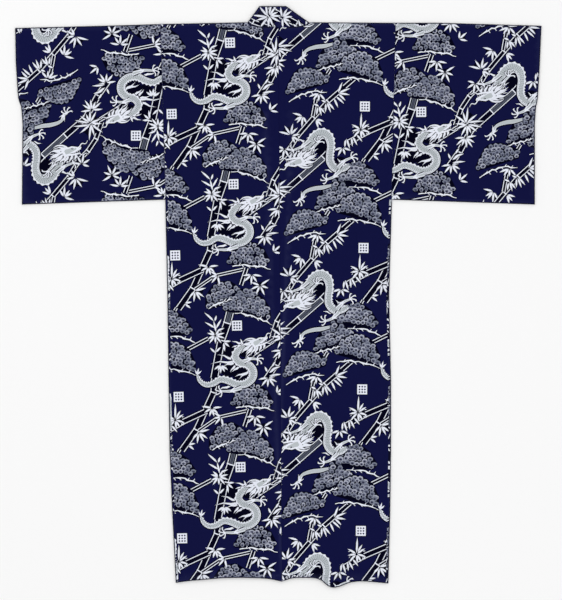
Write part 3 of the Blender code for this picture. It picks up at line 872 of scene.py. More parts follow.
def draw_foot(foot):
    """A leg with flames at its elbow, and a foot with four hooked toes."""
    def toes(dye, swell):
        spreads = enumerate((-68, -24, 22, 70))
        return [(dye, at(toe_shape(6.6 - 0.7 * abs(i - 1.5), swell), foot.x, foot.y, foot.turned + spread))
                for i, spread in spreads]

    along = math.degrees(math.atan2(-(foot.y - foot.from_y), foot.x - foot.from_x))
    elbow = at([(0.5, 1.6)], (foot.x + foot.from_x) / 2, (foot.y + foot.from_y) / 2, along)[0]
    leg = smooth([(foot.from_x, foot.from_y, 2.0), (*elbow, 1.4), (foot.x, foot.y, 0.9)], 3)
    half = leg[:, 2]
    areas = band(NEAR_BLACK, leg, half + 0.9) + toes(NEAR_BLACK, 0.6)
    areas += band(WHITE, leg, half) + band(PALE, leg, half * 0.55) + toes(WHITE, 0.0)
    for i, spread in enumerate((150, 180, 215)):
        start = at([(1.0, 0.4 * i)], *elbow, along)[0]
        areas.append((WHITE, at(flame_shape(6.5 + i, 0.7), *start, along + spread)))
    return areas


def draw_head(x, y, degrees, size):
    """A dragon's head with an open mouth, a maned neck, a swept horn and whiskers."""
    def place(dye, *shapes):
        return [(dye, at(scaled(shape, size, size), x, y, degrees)) for shape in shapes]

    def strands(dye, more):
        areas = []
        for rows in (HORN, WHISKER, LOWER_WHISKER):
            line = smooth([(*place(dye, [row[:2]])[0][1][0], row[2] * size) for row in rows], 3)
            areas += band(dye, line, line[:, 2] + more)
        return areas

    def mane(dye, more, half):
        areas = []
        for lock in MANE:
            root = place(dye, [(lock.x, lock.y)])[0][1][0]
            shape = flame_shape((lock.length + more) * size, half * size)
            areas.append((dye, at(shape, *root, degrees + lock.turned)))
        return areas

    areas = strands(NEAR_BLACK, 0.6) + mane(NEAR_BLACK, 1, 1.7)
    areas += place(NEAR_BLACK, scaled(SKULL, 1.1, 1.22), scaled(JAW, 1.06, 1.12))
    areas += mane(WHITE, 0, 1.0) + strands(WHITE, 0.0) + place(WHITE, SKULL, JAW)
    areas += place(PALE, shifted(scaled(SKULL, 0.62, 0.55), 1.0, 0.3))
    areas += place(NEAR_BLACK, shifted(round_shape(1.0, 0.7, 6), 6.1, 1.3))
    areas += place(WHITE, shifted(round_shape(0.4, 0.35, 4), 6.4, 1.4))
    areas += place(NEAR_BLACK, MOUTH)
    areas += place(WHITE, *([(x - 0.4, -2.1), (x + 0.4, -2.0), (x, -3.0)] for x in TEETH))
    return areas + place(NEAR_BLACK, shifted(round_shape(0.4, 0.3, 4), 12.2, 0.5))


def draw_dragons(plain):
    areas = [] if plain else draw_flames()
    areas += draw_body(CURLED_DRAGON, 0, plain)
    areas += draw_body(ARCHED_DRAGON, 1, plain)
    areas += draw_body(DRAGON_TAIL, 0, True)
    for foot in FEET:
        areas += draw_foot(foot)
    for way, length in TAIL_TUFT:
        areas.append((WHITE, at(leaf_shape(length, 0.9, 90), *TAIL_END, way)))
    for head in HEADS:
        areas += draw_head(*head)
    return areas


def draw_repeat(plain):
    """One repeat of the print: areas of dye, each laid over those before it."""
    areas = []
    for fill in FILLS:
        areas.append((NEAR_BLACK, at(round_shape(fill.half_width, fill.half_height, 9), fill.x, fill.y)))
    areas += [area for cane in CANES for area in draw_cane(cane)]
    areas += [area for cloud in CLOUDS for area in draw_cloud(cloud, plain)]
    areas += [area for bough in BOUGHS for area in draw_bough(bough)]
    areas += draw_dragons(plain)
    areas += [area for spray in SPRAYS for area in draw_spray(spray, plain)]
    areas += draw_leaves()
    areas += [area for place in ORNAMENTS for area in draw_ornament(*place)]
    return [(dye, np.array(shape) * (CHART, -CHART)) for dye, shape in areas]


Repeat = namedtuple("Repeat", "areas centres reach")


def made_repeat(plain):
    areas = [(dye, counterclockwise(shape)) for dye, shape in draw_repeat(plain)]
    areas = [(dye, np.array(shape)) for dye, shape in areas if signed_area(shape) > SMALLEST_AREA]
    centres = np.array([shape.mean(axis=0) for _, shape in areas])
    reach = max(np.abs(shape - shape.mean(axis=0)).max() for _, shape in areas)
    return Repeat(areas, centres, reach)


# The whole print for the cloth that faces up, and a simpler one for the cloth that faces down
REPEATS = {True: made_repeat(False), False: made_repeat(True)}


def laid_areas(lay, repeat, outline):
    """The dye areas of every repeat that reaches an outline, in plan points, undermost first."""
    low, high = np.min(outline, axis=0), np.max(outline, axis=0)
    cos, sin = math.cos(math.radians(lay.turned)), math.sin(math.radians(lay.turned))
    turn = np.array([[cos, sin], [-sin, cos]]) * (1.0, -1.0 if lay.upside_down else 1.0)
    step = np.array([REPEAT_WIDTH * CHART, REPEAT_HEIGHT * CHART])
    reach = np.linalg.norm(high - low) + np.abs((low + high) / 2 - (lay.x, lay.y)).max()
    span = int(reach / step.min()) + 2
    areas = []
    for row in range(-span, span + 1):
        for column in range(-span, span + 1):
            origin = step * (column, row)
            centres = (repeat.centres + origin) @ turn + (lay.x, lay.y)
            near = np.all((centres > low - repeat.reach) & (centres < high + repeat.reach), axis=1)
            for i in np.flatnonzero(near):
                dye, shape = repeat.areas[i]
                placed = (shape + origin) @ turn + (lay.x, lay.y)
                if np.all(placed.max(axis=0) > low) and np.all(placed.min(axis=0) < high):
                    areas.append((i, dye, placed[::-1] if lay.upside_down else placed))
    areas.sort(key=lambda area: area[0])
    return [(dye, placed.tolist()) for _, dye, placed in areas]


# Printed faces

def inset(loop, distance):
    """A closed counterclockwise line moved inwards, with mitred corners."""
    points = np.array(loop)
    ways = np.roll(points, -1, axis=0) - points
    ways /= np.linalg.norm(ways, axis=1)[:, None]
    inwards = np.column_stack([-ways[:, 1], ways[:, 0]])
    before = np.roll(inwards, 1, axis=0)
    share = np.maximum(0.35, 1 + np.sum(before * inwards, axis=1))
    return points + (before + inwards) / share[:, None] * distance


def grid_inside(loop, step, room):
    """Plan points of a staggered grid, inside a line and clear of it."""
    low, high = np.min(loop, axis=0), np.max(loop, axis=0)
    grid = []
    for i, y in enumerate(np.arange(low[1], high[1], step * 0.87)):
        xs = np.arange(low[0] + (step / 2 if i % 2 else 0), high[0], step)
        grid.append(np.column_stack([xs, np.full(len(xs), y)]))
    return well_inside(loop, np.vstack(grid), room)


def planar(loops, extra=(), join=5e-6):
    """Triangulates closed lines and points. Returns the points, the triangles, the numbers of the lines
    that hold each triangle, and the given point that each point comes from."""
    given = [tuple(p) for loop in loops for p in loop]
    ends = np.cumsum([0] + [len(loop) for loop in loops]).tolist()
    faces = [list(range(start, end)) for start, end in zip(ends, ends[1:])]
    given += [tuple(p) for p in extra]
    made, _, triangles, origins, _, holders = delaunay_2d_cdt(given, [], faces, 1, join, True)
    sources = [origin[0] if origin else None for origin in origins]
    points = [tuple(point) if source is None else given[source] for point, source in zip(made, sources)]
    return np.array(points), triangles, holders, sources


def boundary_loop(triangles):
    """The outer edge of a set of counterclockwise triangles, as one ordered loop of vertices."""
    edges = {edge for a, b, c in triangles for edge in ((a, b), (b, c), (c, a))}
    following = {a: b for a, b in edges if (b, a) not in edges}
    loop = [min(following)]
    while following[loop[-1]] != loop[0]:
        loop.append(following[loop[-1]])
    return loop


def holds(shape, x, y):
    """Whether a closed line goes round a point."""
    inside = False
    ax, ay = shape[-1]
    for bx, by in shape:
        if (ay > y) != (by > y) and x < ax + (bx - ax) * (y - ay) / (by - ay):
            inside = not inside
        ax, ay = bx, by
    return inside


def ink(holder, laid, divider, x, y):
    """The topmost dye at a place. The areas past the divider are those of the strip that it outlines."""
    in_strip = divider in holder
    for number in sorted(holder, reverse=True):
        if number in (0, divider) or (number > divider) != in_strip:
            continue
        dye, shape = laid[number]
        if holds(shape, x, y):
            return dye
    return GROUND


def dyed_triangles(panel, outline):
    """A panel's print inside a line, with another lay of it in a strip if there is one."""
    repeat = REPEATS[panel.upwards]
    laid = [(GROUND, outline)] + laid_areas(panel.lay, repeat, outline)
    divider = len(laid)
    if panel.strip is not None:
        strip = counterclockwise(panel.strip.outline)
        laid += [(GROUND, strip)] + laid_areas(panel.strip.lay, repeat, strip)
    grid = grid_inside(outline, FINE_STEP, 0.3 * FINE_STEP)
    if panel.upwards:
        grid = np.vstack([grid, seam_grid(outline)])
    points, triangles, holders, _ = planar([shape for _, shape in laid], grid)
    centres = points[np.array(triangles)].mean(axis=1).tolist()
    kept = [i for i, holder in enumerate(holders) if 0 in holder]
    dyes = [ink(holders[i], laid, divider, *centres[i]) for i in kept]
    used = sorted({corner for i in kept for corner in triangles[i]})
    new = {old: i for i, old in enumerate(used)}
    return points[used], [tuple(new[corner] for corner in triangles[i]) for i in kept], dyes


def rounded_edge(loop, first, points, edge):
    """Triangles from a face's own edge out to its outline, whose points follow the face's points."""
    _, triangles, holders, sources = planar([first, points[edge]], (), 1e-9)
    count, size = len(points), len(loop)
    ring = [count + size + i for i in range(size)] + edge
    made = [tuple(ring[sources[corner]] for corner in triangle)
            for triangle, holder in zip(triangles, holders) if 0 in holder and 1 not in holder]
    for i in range(size):
        j = (i + 1) % size
        made += [(count + i, count + j, ring[j]), (count + i, ring[j], ring[i])]
    return made


Face = namedtuple("Face", "points triangles dyes size")


def printed_face(panel):
    """A panel's face. Last come its outline's points, and as many of the edge's first rounding step. The
    edge's rounding is painted near-black as painted shade along free edges and folds, and keeps the ground's
    colour along seams.
    """
    loop = np.array(counterclockwise(panel.outline))
    sewn = near_seams(loop, panel.seams)
    rounding = np.where(sewn, SEAM_ROUND, EDGE_ROUND)[:, None]
    first = inset(loop, rounding * ROUND_STEP)
    points, triangles, dyes = dyed_triangles(panel, inset(loop, rounding).tolist())
    edge = rounded_edge(loop, first, points, boundary_loop(triangles))
    points = np.vstack([points, loop, first])
    # painted shade: the rounded edge is near-black along free edges and folds, and ground along seams
    for triangle in edge:
        nearest = int(np.argmin(np.linalg.norm(loop - points[list(triangle)].mean(axis=0), axis=1)))
        dyes.append(GROUND if sewn[nearest] else NEAR_BLACK)
    return Face(points, triangles + edge, dyes, len(loop))


def plain_face(loop):
    """A face without print, for the cloth's inner side."""
    loop = counterclockwise(loop)
    near = well_inside(loop, inset(loop, 0.5 * EDGE_STEP)[::2], 0.3 * EDGE_STEP)
    grid = grid_inside(loop, COARSE_STEP, 0.4 * COARSE_STEP)
    points, triangles, holders, _ = planar([loop], np.vstack([near, grid]))
    return points, [tuple(triangle) for triangle, holder in zip(triangles, holders) if holder]


# Cloth pieces. A print's lay is a place of its first ornament, with the degrees that it is turned

Lay = namedtuple("Lay", "x y turned upside_down")
Strip = namedtuple("Strip", "lay outline")
Panel = namedtuple("Panel", "outline height lay strip upwards seams")


def key(point):
    return round(float(point[0]), 6), round(float(point[1]), 6)


class Shell:
    """Collects a closed cloth shell: vertices, their directions, faces and their colours, which are the
    print's dye and painted shade on the edges.
    """

    def __init__(self, thickness):
        self.points, self.normals, self.faces, self.dyes = [], [], [], []
        self.thickness = thickness
        self.folded, self.fold_heights, self.corners, self.inner_corners = {}, {}, {}, {}

    def add(self, point, normal):
        self.points.append(point)
        self.normals.append(normal)
        return len(self.points) - 1

    def face(self, corners, dye, forwards):
        if len(set(corners)) == len(corners):
            self.faces.append(corners if forwards else corners[::-1])
            self.dyes.append(dye)

    def is_fold(self, *names):
        """Whether two names follow each other along one fold."""
        places = [self.folded.get(name) for name in names]
        return None not in places and abs(places[0] - places[1]) == 1


def slopes(height, points):
    """Upward directions of a height field."""
    h = SLOPE_STEP
    dx = (height(points + (h, 0)) - height(points - (h, 0))) / (2 * h)
    dy = (height(points + (0, h)) - height(points - (0, h))) / (2 * h)
    normals = np.column_stack([-dx, -dy, np.ones(len(points))])
    return normals / np.linalg.norm(normals, axis=1)[:, None]


def outward(loop):
    """The outward direction at each point of a counterclockwise line."""
    moved = np.array(loop) - inset(loop, 1e-4)
    return moved / np.maximum(1e-12, np.linalg.norm(moved, axis=1))[:, None]


def middle_height(point, upper, lower, thickness):
    """Height of a fold's nose, halfway between the upper leaf's face and the lower leaf's."""
    spot = np.array([point])
    return float((upper.height(spot)[0] + thickness + lower.height(spot)[0]) / 2)


def add_outer(shell, panel):
    """Adds a panel's printed outer face. Returns its outline's names with their vertices."""
    face = printed_face(panel)
    sign = 1.0 if panel.upwards else -1.0
    surface = panel.height(face.points) + (shell.thickness if panel.upwards else 0.0)
    normals = slopes(panel.height, face.points) * sign
    rim = len(face.points) - 2 * face.size
    names = [key(point) for point in face.points[rim:rim + face.size]]
    out = outward(face.points[rim:rim + face.size])
    for j, name in enumerate(names):
        free_z = surface[rim + j] - sign * shell.thickness * EDGE_DROP
        surface[rim + j] = rim_z = shell.fold_heights.get(name, free_z)
        tilt = 0.0 if name in shell.folded else 0.5 * sign
        normals[rim + j] = (*out[j], tilt)
        first = rim + face.size + j
        surface[first] = rim_z + (surface[first] - rim_z) * ROUND_RISE
        normals[first] += normals[rim + j]
    index = []
    for i, ((x, y), z) in enumerate(zip(face.points, surface)):
        name = names[i - rim] if rim <= i < rim + face.size else None
        if name not in shell.corners:
            vertex = shell.add((x, y, z), tuple(normals[i]))
            if name in shell.folded:
                shell.corners[name] = vertex
        index.append(shell.corners[name] if name in shell.corners else vertex)
    for triangle, dye in zip(face.triangles, face.dyes):
        shell.face(tuple(index[i] for i in triangle), dye, panel.upwards)
    return list(zip(names, index[rim:rim + face.size]))


def add_inner(shell, panel, rim):
    """Adds a panel's inner side, and the cloth's edge between it and the outer face where it isn't folded,
    painted near-black as painted shade.
    """
    loop = [shell.points[vertex][:2] for _, vertex in rim]
    inner = [tuple(moved if name in shell.folded else point)
             for (name, _), point, moved in zip(rim, loop, inset(loop, shell.thickness * 0.9))]
    names = {key(point): name for point, (name, _) in zip(inner, rim)}
    points, triangles = plain_face(inner)
    surface = panel.height(points) + (0.0 if panel.upwards else shell.thickness)
    normals = slopes(panel.height, points) * (-1.0 if panel.upwards else 1.0)
    index, places = [], {}
    for (x, y), z, normal in zip(points, surface, normals):
        name = names.get(key((x, y)))
        if name in shell.inner_corners:
            index.append(shell.inner_corners[name])
        else:
            index.append(shell.add((x, y, shell.fold_heights.get(name, z)), tuple(normal)))
        if name is not None:
            places[name] = index[-1]
        if name in shell.folded:
            shell.inner_corners[name] = index[-1]
    for triangle in triangles:
        shell.face(tuple(index[i] for i in triangle), GROUND, not panel.upwards)
    # painted shade: the cloth's cut edge is near-black
    for (name_a, a), (name_b, b) in zip(rim, rim[1:] + rim[:1]):
        if not shell.is_fold(name_a, name_b):
            shell.face((b, a, places[name_a], places[name_b]), NEAR_BLACK, panel.upwards)


def edge_wear(points, panels):
    """How rubbed each point is: most on the folds and free edges, and nothing a little way in."""
    nearest = np.full(len(points), np.inf)
    for panel in panels:
        loop = np.array(panel.outline)
        sewn = near_seams(loop, panel.seams)
        for start, end, *both_sewn in zip(loop, np.roll(loop, -1, axis=0), sewn, np.roll(sewn, -1)):
            if not all(both_sewn):
                nearest = np.minimum(nearest, to_segment(points, start, end))
    return WEAR * np.clip(1 - nearest / WEAR_REACH, 0, 1) ** 2


def cloth(node, panels, folds, thickness, material):
    """One closed shell of up to three panels. Folds are lines that the first panel shares with another."""
    shell = Shell(thickness)
    for number, (other, line) in enumerate(folds):
        for i, point in enumerate(line):
            shell.folded[key(point)] = number * 10000 + i
            shell.fold_heights[key(point)] = middle_height(point, panels[0], panels[other], thickness)
    for panel in panels:
        add_inner(shell, panel, add_outer(shell, panel))
    name = f"{node}_cloth"
    mesh = bpy.data.meshes.new(name)
    mesh.from_pydata(shell.points, [], shell.faces)
    # corner colours: the print, with the painted shade of the cloth's edges
    counts = [len(face) for face in shell.faces]
    colors = np.repeat(np.column_stack([shell.dyes, np.ones(len(shell.dyes))]), counts, axis=0)
    mesh.color_attributes.new("PrintAndEdgeShade", "FLOAT_COLOR", "CORNER").data.foreach_set(
        "color", colors.astype(np.float32).ravel())
    wear = edge_wear(np.array(shell.points), panels)
    mesh.attributes.new("Wear", "FLOAT", "POINT").data.foreach_set("value", wear.astype(np.float32))
    mesh.validate()
    normals = np.array(shell.normals, dtype=float)
    normals /= np.maximum(1e-9, np.linalg.norm(normals, axis=1))[:, None]
    mesh.shade_smooth()
    mesh.normals_split_custom_set_from_vertices(normals)
    mesh.materials.append(material)
    piece = bpy.data.objects.new(name, mesh)
    bpy.context.scene.collection.objects.link(piece)
    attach(piece, "root")
    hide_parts(node)
    return piece


# The lay of the print on each panel, from the places of its ornaments
BACK_LAYS = {LEFT: Lay(-0.1191, 0.2992, 1.42, False), RIGHT: Lay(-0.1282, 0.3187, -0.55, False)}
SLEEVE_LAYS = {LEFT: Lay(-0.3782, 0.4281, 180.0, False), RIGHT: Lay(0.3796, 0.4911, 0.2, False)}
COLLAR_LAY = Lay(-0.0580, 0.6240, 90.0, False)
WRAP_SHIFT = (0.061, 0.083)         # from the back's print to the front's, where that turns onto the back
OVERLAP_SHIFT = (0.210, 0.120)      # and from the front's print to the overlap's


def over_shoulder(lay):
    """The same print seen from below, past the shoulder fold."""
    return Lay(lay.x, 2 * SHOULDER_Y - lay.y, -lay.turned, True)


def make_body(side, material):
    shoulder = shoulder_line(side, NECK_HALF, seam_half(side))
    armhole = armhole_line(side)
    sides = side_line(side)
    hem = back_hem_line(side)
    neck = back_neck_line(side)
    centre = divided([hem[-1], neck[0]])
    back = armhole[:-1] + sides[:-1] + hem[:-1] + centre[:-1] + neck[:-1] + shoulder[:-1]
    edge = front_edge_x(side)
    point = (collar_seam_at(side, SHOULDER_Y - OVERLAP_SEAM_TOP, 0.0), SHOULDER_Y - OVERLAP_SEAM_TOP)
    climb = (sides[-1][0] - side * FRONT_CORNER_IN, SHOULDER_Y - FRONT_CORNER)
    inner = divided([sides[-1], climb, (edge, SHOULDER_Y - FRONT_HEM), point, shoulder[0]])
    front = armhole[:-1] + sides[:-1] + inner[:-1] + shoulder[:-1]
    lay = BACK_LAYS[side]
    wrapped = Lay(lay.x - side * WRAP_SHIFT[0], lay.y + WRAP_SHIFT[1], lay.turned, False)
    strip = [(x + side * STRIP_PAST, y) for x, y in sides]
    strip += [(x - side * SIDE_WRAP, y) for x, y in sides[::-1]]
    seams = [(armhole[0], armhole[-1]), (neck[0], neck[-1])]
    front_seams = seams + [(point, inner[-1]), (point, (edge, inner[-2][1]))]
    upper = Panel(back, over_both_fronts, lay, Strip(wrapped, strip), True, seams + [(hem[-1], neck[0])])
    lower = Panel(front, UNDERSIDES[side], over_shoulder(lay), None, False, front_seams)
    piece = cloth(f"body_{name_of(side)}", (upper, lower), ((1, shoulder), (1, sides)), CLOTH, material)
    half = seam_half(side)
    area = min(abs(signed_area(back)) + abs(signed_area(front)), 2 * half * FRONT_HEM)


def front_edge_x(side):
    return MOVE_X - side * OVERLAP_SEAM


def make_sleeve(side, material):
    start = seam_half(side) + GAP
    outer = abs(sleeve_edge(side, SHOULDER_Y) - MOVE_X)
    top = shoulder_line(side, start, outer)
    opening_end = SHOULDER_Y - CUFF_OPENING
    cuff = top[-1:] + down(lambda y: sleeve_edge(side, y), shoulder_at(top[-1][0]), opening_end)[1:]
    corner_y = sleeve_bottom_at(side, sleeve_edge(side, SLEEVE_SEAM_Y)) - ROUND_OUT
    end = cuff[-1:] + down(lambda y: sleeve_edge(side, y) + side * ROUND_OUT, opening_end, corner_y)[1:]
    inner = body_edge(side, SLEEVE_SEAM_Y) + side * GAP
    lower = divided([end[-1], (inner, sleeve_bottom_at(side, inner) - ROUND_OUT)])
    closed = end[:-1] + lower
    seam = divided([lower[-1], top[0]])
    outline = top[:-1] + cuff[:-1] + closed[:-1] + seam[:-1]
    lay = SLEEVE_LAYS[side]
    sewn = [(seam[0], seam[-1])]
    upper = Panel(outline, over_both_fronts, lay, None, True, sewn)
    under = Panel(outline, UNDERSIDES[side], over_shoulder(lay), None, False, sewn)
    piece = cloth(f"sleeve_{name_of(side)}", (upper, under), ((1, top), (1, closed)), CLOTH, material)
    width = outer - start
    area = min(2 * abs(signed_area(outline)), 2 * width * SLEEVE_BOTTOM)


def make_overlap(side, material):
    edge = front_edge_x(side) - side * GAP
    top_y = SHOULDER_Y - OVERLAP_SEAM_TOP
    hem_y = SHOULDER_Y - FRONT_HEM
    top = (collar_seam_at(side, top_y, 0.0) - side * GAP, top_y - 2 * GAP)
    end, free = collar_seam_line(side, 0.0)[1], collar_free_end(side)
    points = [(edge, hem_y), (MOVE_X - side * OVERLAP_REACH, hem_y),
              (free[0], free[1] - 2 * GAP), (end[0], end[1] - 2 * GAP), top]
    outline = divided(points + points[:1])[:-1]
    lay = over_shoulder(BACK_LAYS[side])
    lay = Lay(lay.x - side * OVERLAP_SHIFT[0], lay.y + OVERLAP_SHIFT[1], lay.turned, True)
    panel = Panel(outline, UNDERSIDES[side], lay, None, False, [(points[0], top)])
    piece = cloth(f"overlap_{name_of(side)}", (panel,), (), CLOTH, material)
    width, length = (np.max(outline, axis=0) - np.min(outline, axis=0)).tolist()
    abs(signed_area(outline))


def make_collar(material):
    top_y = SHOULDER_Y + COLLAR_STAND
    corner = NECK_HALF - COLLAR_CORNER_ROOM
    corner_y = NECK_SHOULDER_Y + GAP
    spots = [MOVE_X + corner * (i / NECK_PARTS - 1) for i in range(1, 2 * NECK_PARTS)]
    seam = [(x, neck_dip(x) + GAP) for x in spots]
    left_side = divided([(MOVE_X - COLLAR_TOP_LEFT, top_y), (MOVE_X - corner, corner_y)])
    right_side = divided([(MOVE_X + corner, corner_y), (MOVE_X + COLLAR_TOP_RIGHT, top_y)])
    top = divided([right_side[-1], left_side[0]])
    outline = left_side + seam + right_side + top[1:-1]
    under = over_shoulder(COLLAR_LAY)
    back = Panel(outline, over_both_fronts, COLLAR_LAY, None, True, list(zip(seam, seam[1:])))
    left = Panel(collar_front(LEFT, left_side), UNDERSIDES[LEFT], under, None, False, ())
    right = Panel(collar_front(RIGHT, right_side), UNDERSIDES[RIGHT], under, None, False, ())
    piece = cloth("collar", (back, left, right), ((1, left_side), (2, right_side)), COLLAR_CLOTH, material)
    length = sum(abs(signed_area(panel.outline)) for panel in (back, left, right)) / COLLAR_WIDTH


def collar_front(side, fold):
    """The collar's stretch under one front, from its folded side down to its end."""
    corner, top = (fold[-1], fold[0]) if side == LEFT else (fold[0], fold[-1])
    meets_seam_y = corner[1] - COLLAR_WIDTH
    free = collar_free_end(side)
    sewn = [corner, (collar_seam_at(side, meets_seam_y, GAP), meets_seam_y), collar_seam_line(side, GAP)[1]]
    widest_x = free[0] + BULGE_ACROSS * (top[0] - free[0]) - side * COLLAR_BULGE
    open_edge = divided(sewn + [free, (widest_x, free[1] + BULGE_UP * (top[1] - free[1])), top])
    return open_edge + (fold[::-1] if side == RIGHT else fold)[1:-1]


# Materials

def new_group(name, inputs, outputs):
    """A shader node group, with the kind of each socket. Returns the tree and its two end nodes."""
    tree = bpy.data.node_groups.new(name, "ShaderNodeTree")
    for in_out, sockets in (("INPUT", inputs), ("OUTPUT", outputs)):
        for socket, kind in sockets.items():
            tree.interface.new_socket(name=socket, in_out=in_out, socket_type=f"NodeSocket{kind}")
    return tree, tree.nodes.new("NodeGroupInput"), tree.nodes.new("NodeGroupOutput")


def feed(tree, socket, value):
    """Sets a socket to a number, vector or colour, or links another node's output to it."""
    if isinstance(value, bpy.types.NodeSocket):
        tree.links.new(value, socket)
    else:
        socket.default_value = value


def maths(tree, operation, first, second):
    node = tree.nodes.new("ShaderNodeMath")
    node.operation = operation
    feed(tree, node.inputs[0], first)
    feed(tree, node.inputs[1], second)
    return node.outputs["Value"]


def vector_maths(tree, operation, vector, socket, value):
    node = tree.nodes.new("ShaderNodeVectorMath")
    node.operation = operation
    feed(tree, node.inputs[0], vector)
    feed(tree, node.inputs[socket], value)
    return node.outputs["Vector"]


def stretched_noise(tree, place, stretch, detail):
    """Noise whose grain is drawn out, from the number of grains to a metre each way."""
    noise = tree.nodes.new("ShaderNodeTexNoise")
    noise.inputs["Scale"].default_value = 1.0
    noise.inputs["Detail"].default_value = detail
    feed(tree, noise.inputs["Vector"], vector_maths(tree, "MULTIPLY", place, 1, stretch))
    return noise.outputs["Fac"]


def weave_group():
    """Plain weave: threads over and under each other, with thicker slubs here and there."""
    tree, start, end = new_group("plain weave", {"Place": "Vector", "Thread": "Float"},
                                 {"Height": "Float", "Slubs": "Float"})
    place, thread = start.outputs["Place"], start.outputs["Thread"]
    checks = tree.nodes.new("ShaderNodeTexChecker")
    feed(tree, checks.inputs["Vector"], place)
    feed(tree, checks.inputs["Scale"], maths(tree, "DIVIDE", 1.0, thread))
    over = checks.outputs["Fac"]
    threads = []
    for direction, share in (("X", over), ("Y", maths(tree, "SUBTRACT", 1.0, over))):
        wave = tree.nodes.new("ShaderNodeTexWave")
        wave.bands_direction = direction
        feed(tree, wave.inputs["Vector"], place)
        feed(tree, wave.inputs["Scale"], maths(tree, "DIVIDE", math.pi / 10, thread))
        threads.append(maths(tree, "MULTIPLY", wave.outputs["Fac"], share))
    along = stretched_noise(tree, place, (900.0, 22.0, 22.0), 2.0)
    across = stretched_noise(tree, place, (18.0, 700.0, 18.0), 2.0)
    slubs = maths(tree, "MULTIPLY", maths(tree, "ADD", along, across), 0.5)
    feed(tree, end.inputs["Height"], maths(tree, "ADD", maths(tree, "ADD", *threads), slubs))
    feed(tree, end.inputs["Slubs"], slubs)
    return tree


def fading_group():
    """A dye that took unevenly: wide soft patches, finer mottling, and threads that hold more of it."""
    tree, start, end = new_group(
        "uneven dye", {"Color": "Color", "Place": "Vector", "Slubs": "Float", "Amount": "Float"},
        {"Color": "Color", "Patches": "Float"})
    place = start.outputs["Place"]
    patches = stretched_noise(tree, place, (7.0, 5.0, 7.0), 3.0)
    mottle = stretched_noise(tree, place, (160.0, 150.0, 160.0), 3.0)
    mixed = 0.0
    for part, share in ((patches, 0.35), (mottle, 0.25), (start.outputs["Slubs"], 0.40)):
        mixed = maths(tree, "ADD", mixed, maths(tree, "MULTIPLY", part, share))
    spread = maths(tree, "MULTIPLY", maths(tree, "SUBTRACT", mixed, 0.5), start.outputs["Amount"])
    shade = vector_maths(tree, "SCALE", start.outputs["Color"], "Scale", maths(tree, "ADD", spread, 1.0))
    feed(tree, end.inputs["Color"], shade)
    feed(tree, end.inputs["Patches"], patches)
    return tree


def placed_group(tree, group, **values):
    """A group node with its inputs set or linked."""
    node = tree.nodes.new("ShaderNodeGroup")
    node.node_tree = group
    for name, value in values.items():
        feed(tree, node.inputs[name], value)
    return node.outputs


def new_material(name, values):
    """A material with some of its shader's inputs set. Returns it, its tree and its shader."""
    material = bpy.data.materials.new(name)
    material.use_nodes = True
    shader = material.node_tree.nodes["Principled BSDF"]
    for socket, value in values.items():
        shader.inputs[socket].default_value = value
    return material, material.node_tree, shader


def woven_dye(tree, shader, groups, color, thread, amount, strength, distance):
    """Threads with an uneven dye, and their height as the shader's normal. Returns both groups' outputs."""
    place = tree.nodes.new("ShaderNodeTexCoord").outputs["Object"]
    woven = placed_group(tree, groups[0], Place=place, Thread=thread)
    dyed = placed_group(tree, groups[1], Color=color, Place=place, Slubs=woven["Slubs"], Amount=amount)
    bump = tree.nodes.new("ShaderNodeBump")
    bump.inputs["Strength"].default_value = strength
    bump.inputs["Distance"].default_value = distance
    feed(tree, bump.inputs["Height"], woven["Height"])
    feed(tree, shader.inputs["Normal"], bump.outputs["Normal"])
    return woven, dyed


def cotton_material(groups):
    """Plain-weave cotton with its print, a little rubbed where it is folded."""
    material, tree, shader = new_material(
        "printed cotton", {"Sheen Weight": 0.02, "Sheen Roughness": 0.4, "Specular IOR Level": 0.03})
    # the corner colours hold the print and the painted shade along the cloth's edges
    dye = tree.nodes.new("ShaderNodeVertexColor")
    dye.layer_name = "PrintAndEdgeShade"
    woven, dyed = woven_dye(tree, shader, groups, dye.outputs["Color"], THREAD, 0.5, 0.45, 0.00025)
    rubbed = tree.nodes.new("ShaderNodeAttribute")
    rubbed.attribute_name = "Wear"
    worn = tree.nodes.new("ShaderNodeMix")
    worn.data_type = "RGBA"
    feed(tree, worn.inputs["Factor"], maths(tree, "MULTIPLY", rubbed.outputs["Fac"], dyed["Patches"]))
    feed(tree, worn.inputs["A"], dyed["Color"])
    worn.inputs["B"].default_value = WORN_BLUE
    feed(tree, shader.inputs["Base Color"], worn.outputs["Result"])
    roughness = maths(tree, "ADD", maths(tree, "MULTIPLY", woven["Slubs"], -0.20), 0.97)
    feed(tree, shader.inputs["Roughness"], roughness)
    return material


def thread_material(groups):
    """Twisted sewing thread, dyed to go with the ground."""
    material, tree, shader = new_material("sewing thread", {"Roughness": 0.6, "Specular IOR Level": 0.3})
    _, dyed = woven_dye(tree, shader, groups, THREAD_BLUE, SEWING_THREAD, 0.8, 0.5, 0.0001)
    feed(tree, shader.inputs["Base Color"], dyed["Color"])
    return material


# Stitches: the small ones that hold the turned hem and the sleeves' openings

def evenly_along(line, pitch):
    """Places and directions at even distances along a line."""
    points = np.array(line)
    steps = np.linalg.norm(np.diff(points, axis=0), axis=1)
    reached = np.concatenate([[0], np.cumsum(steps)])
    spots = []
    for i in range(1, int(reached[-1] / pitch)):
        k = int(np.searchsorted(reached, i * pitch)) - 1
        way = points[k + 1] - points[k]
        spots.append((points[k] + way * (i * pitch - reached[k]) / steps[k], way / steps[k]))
    return spots


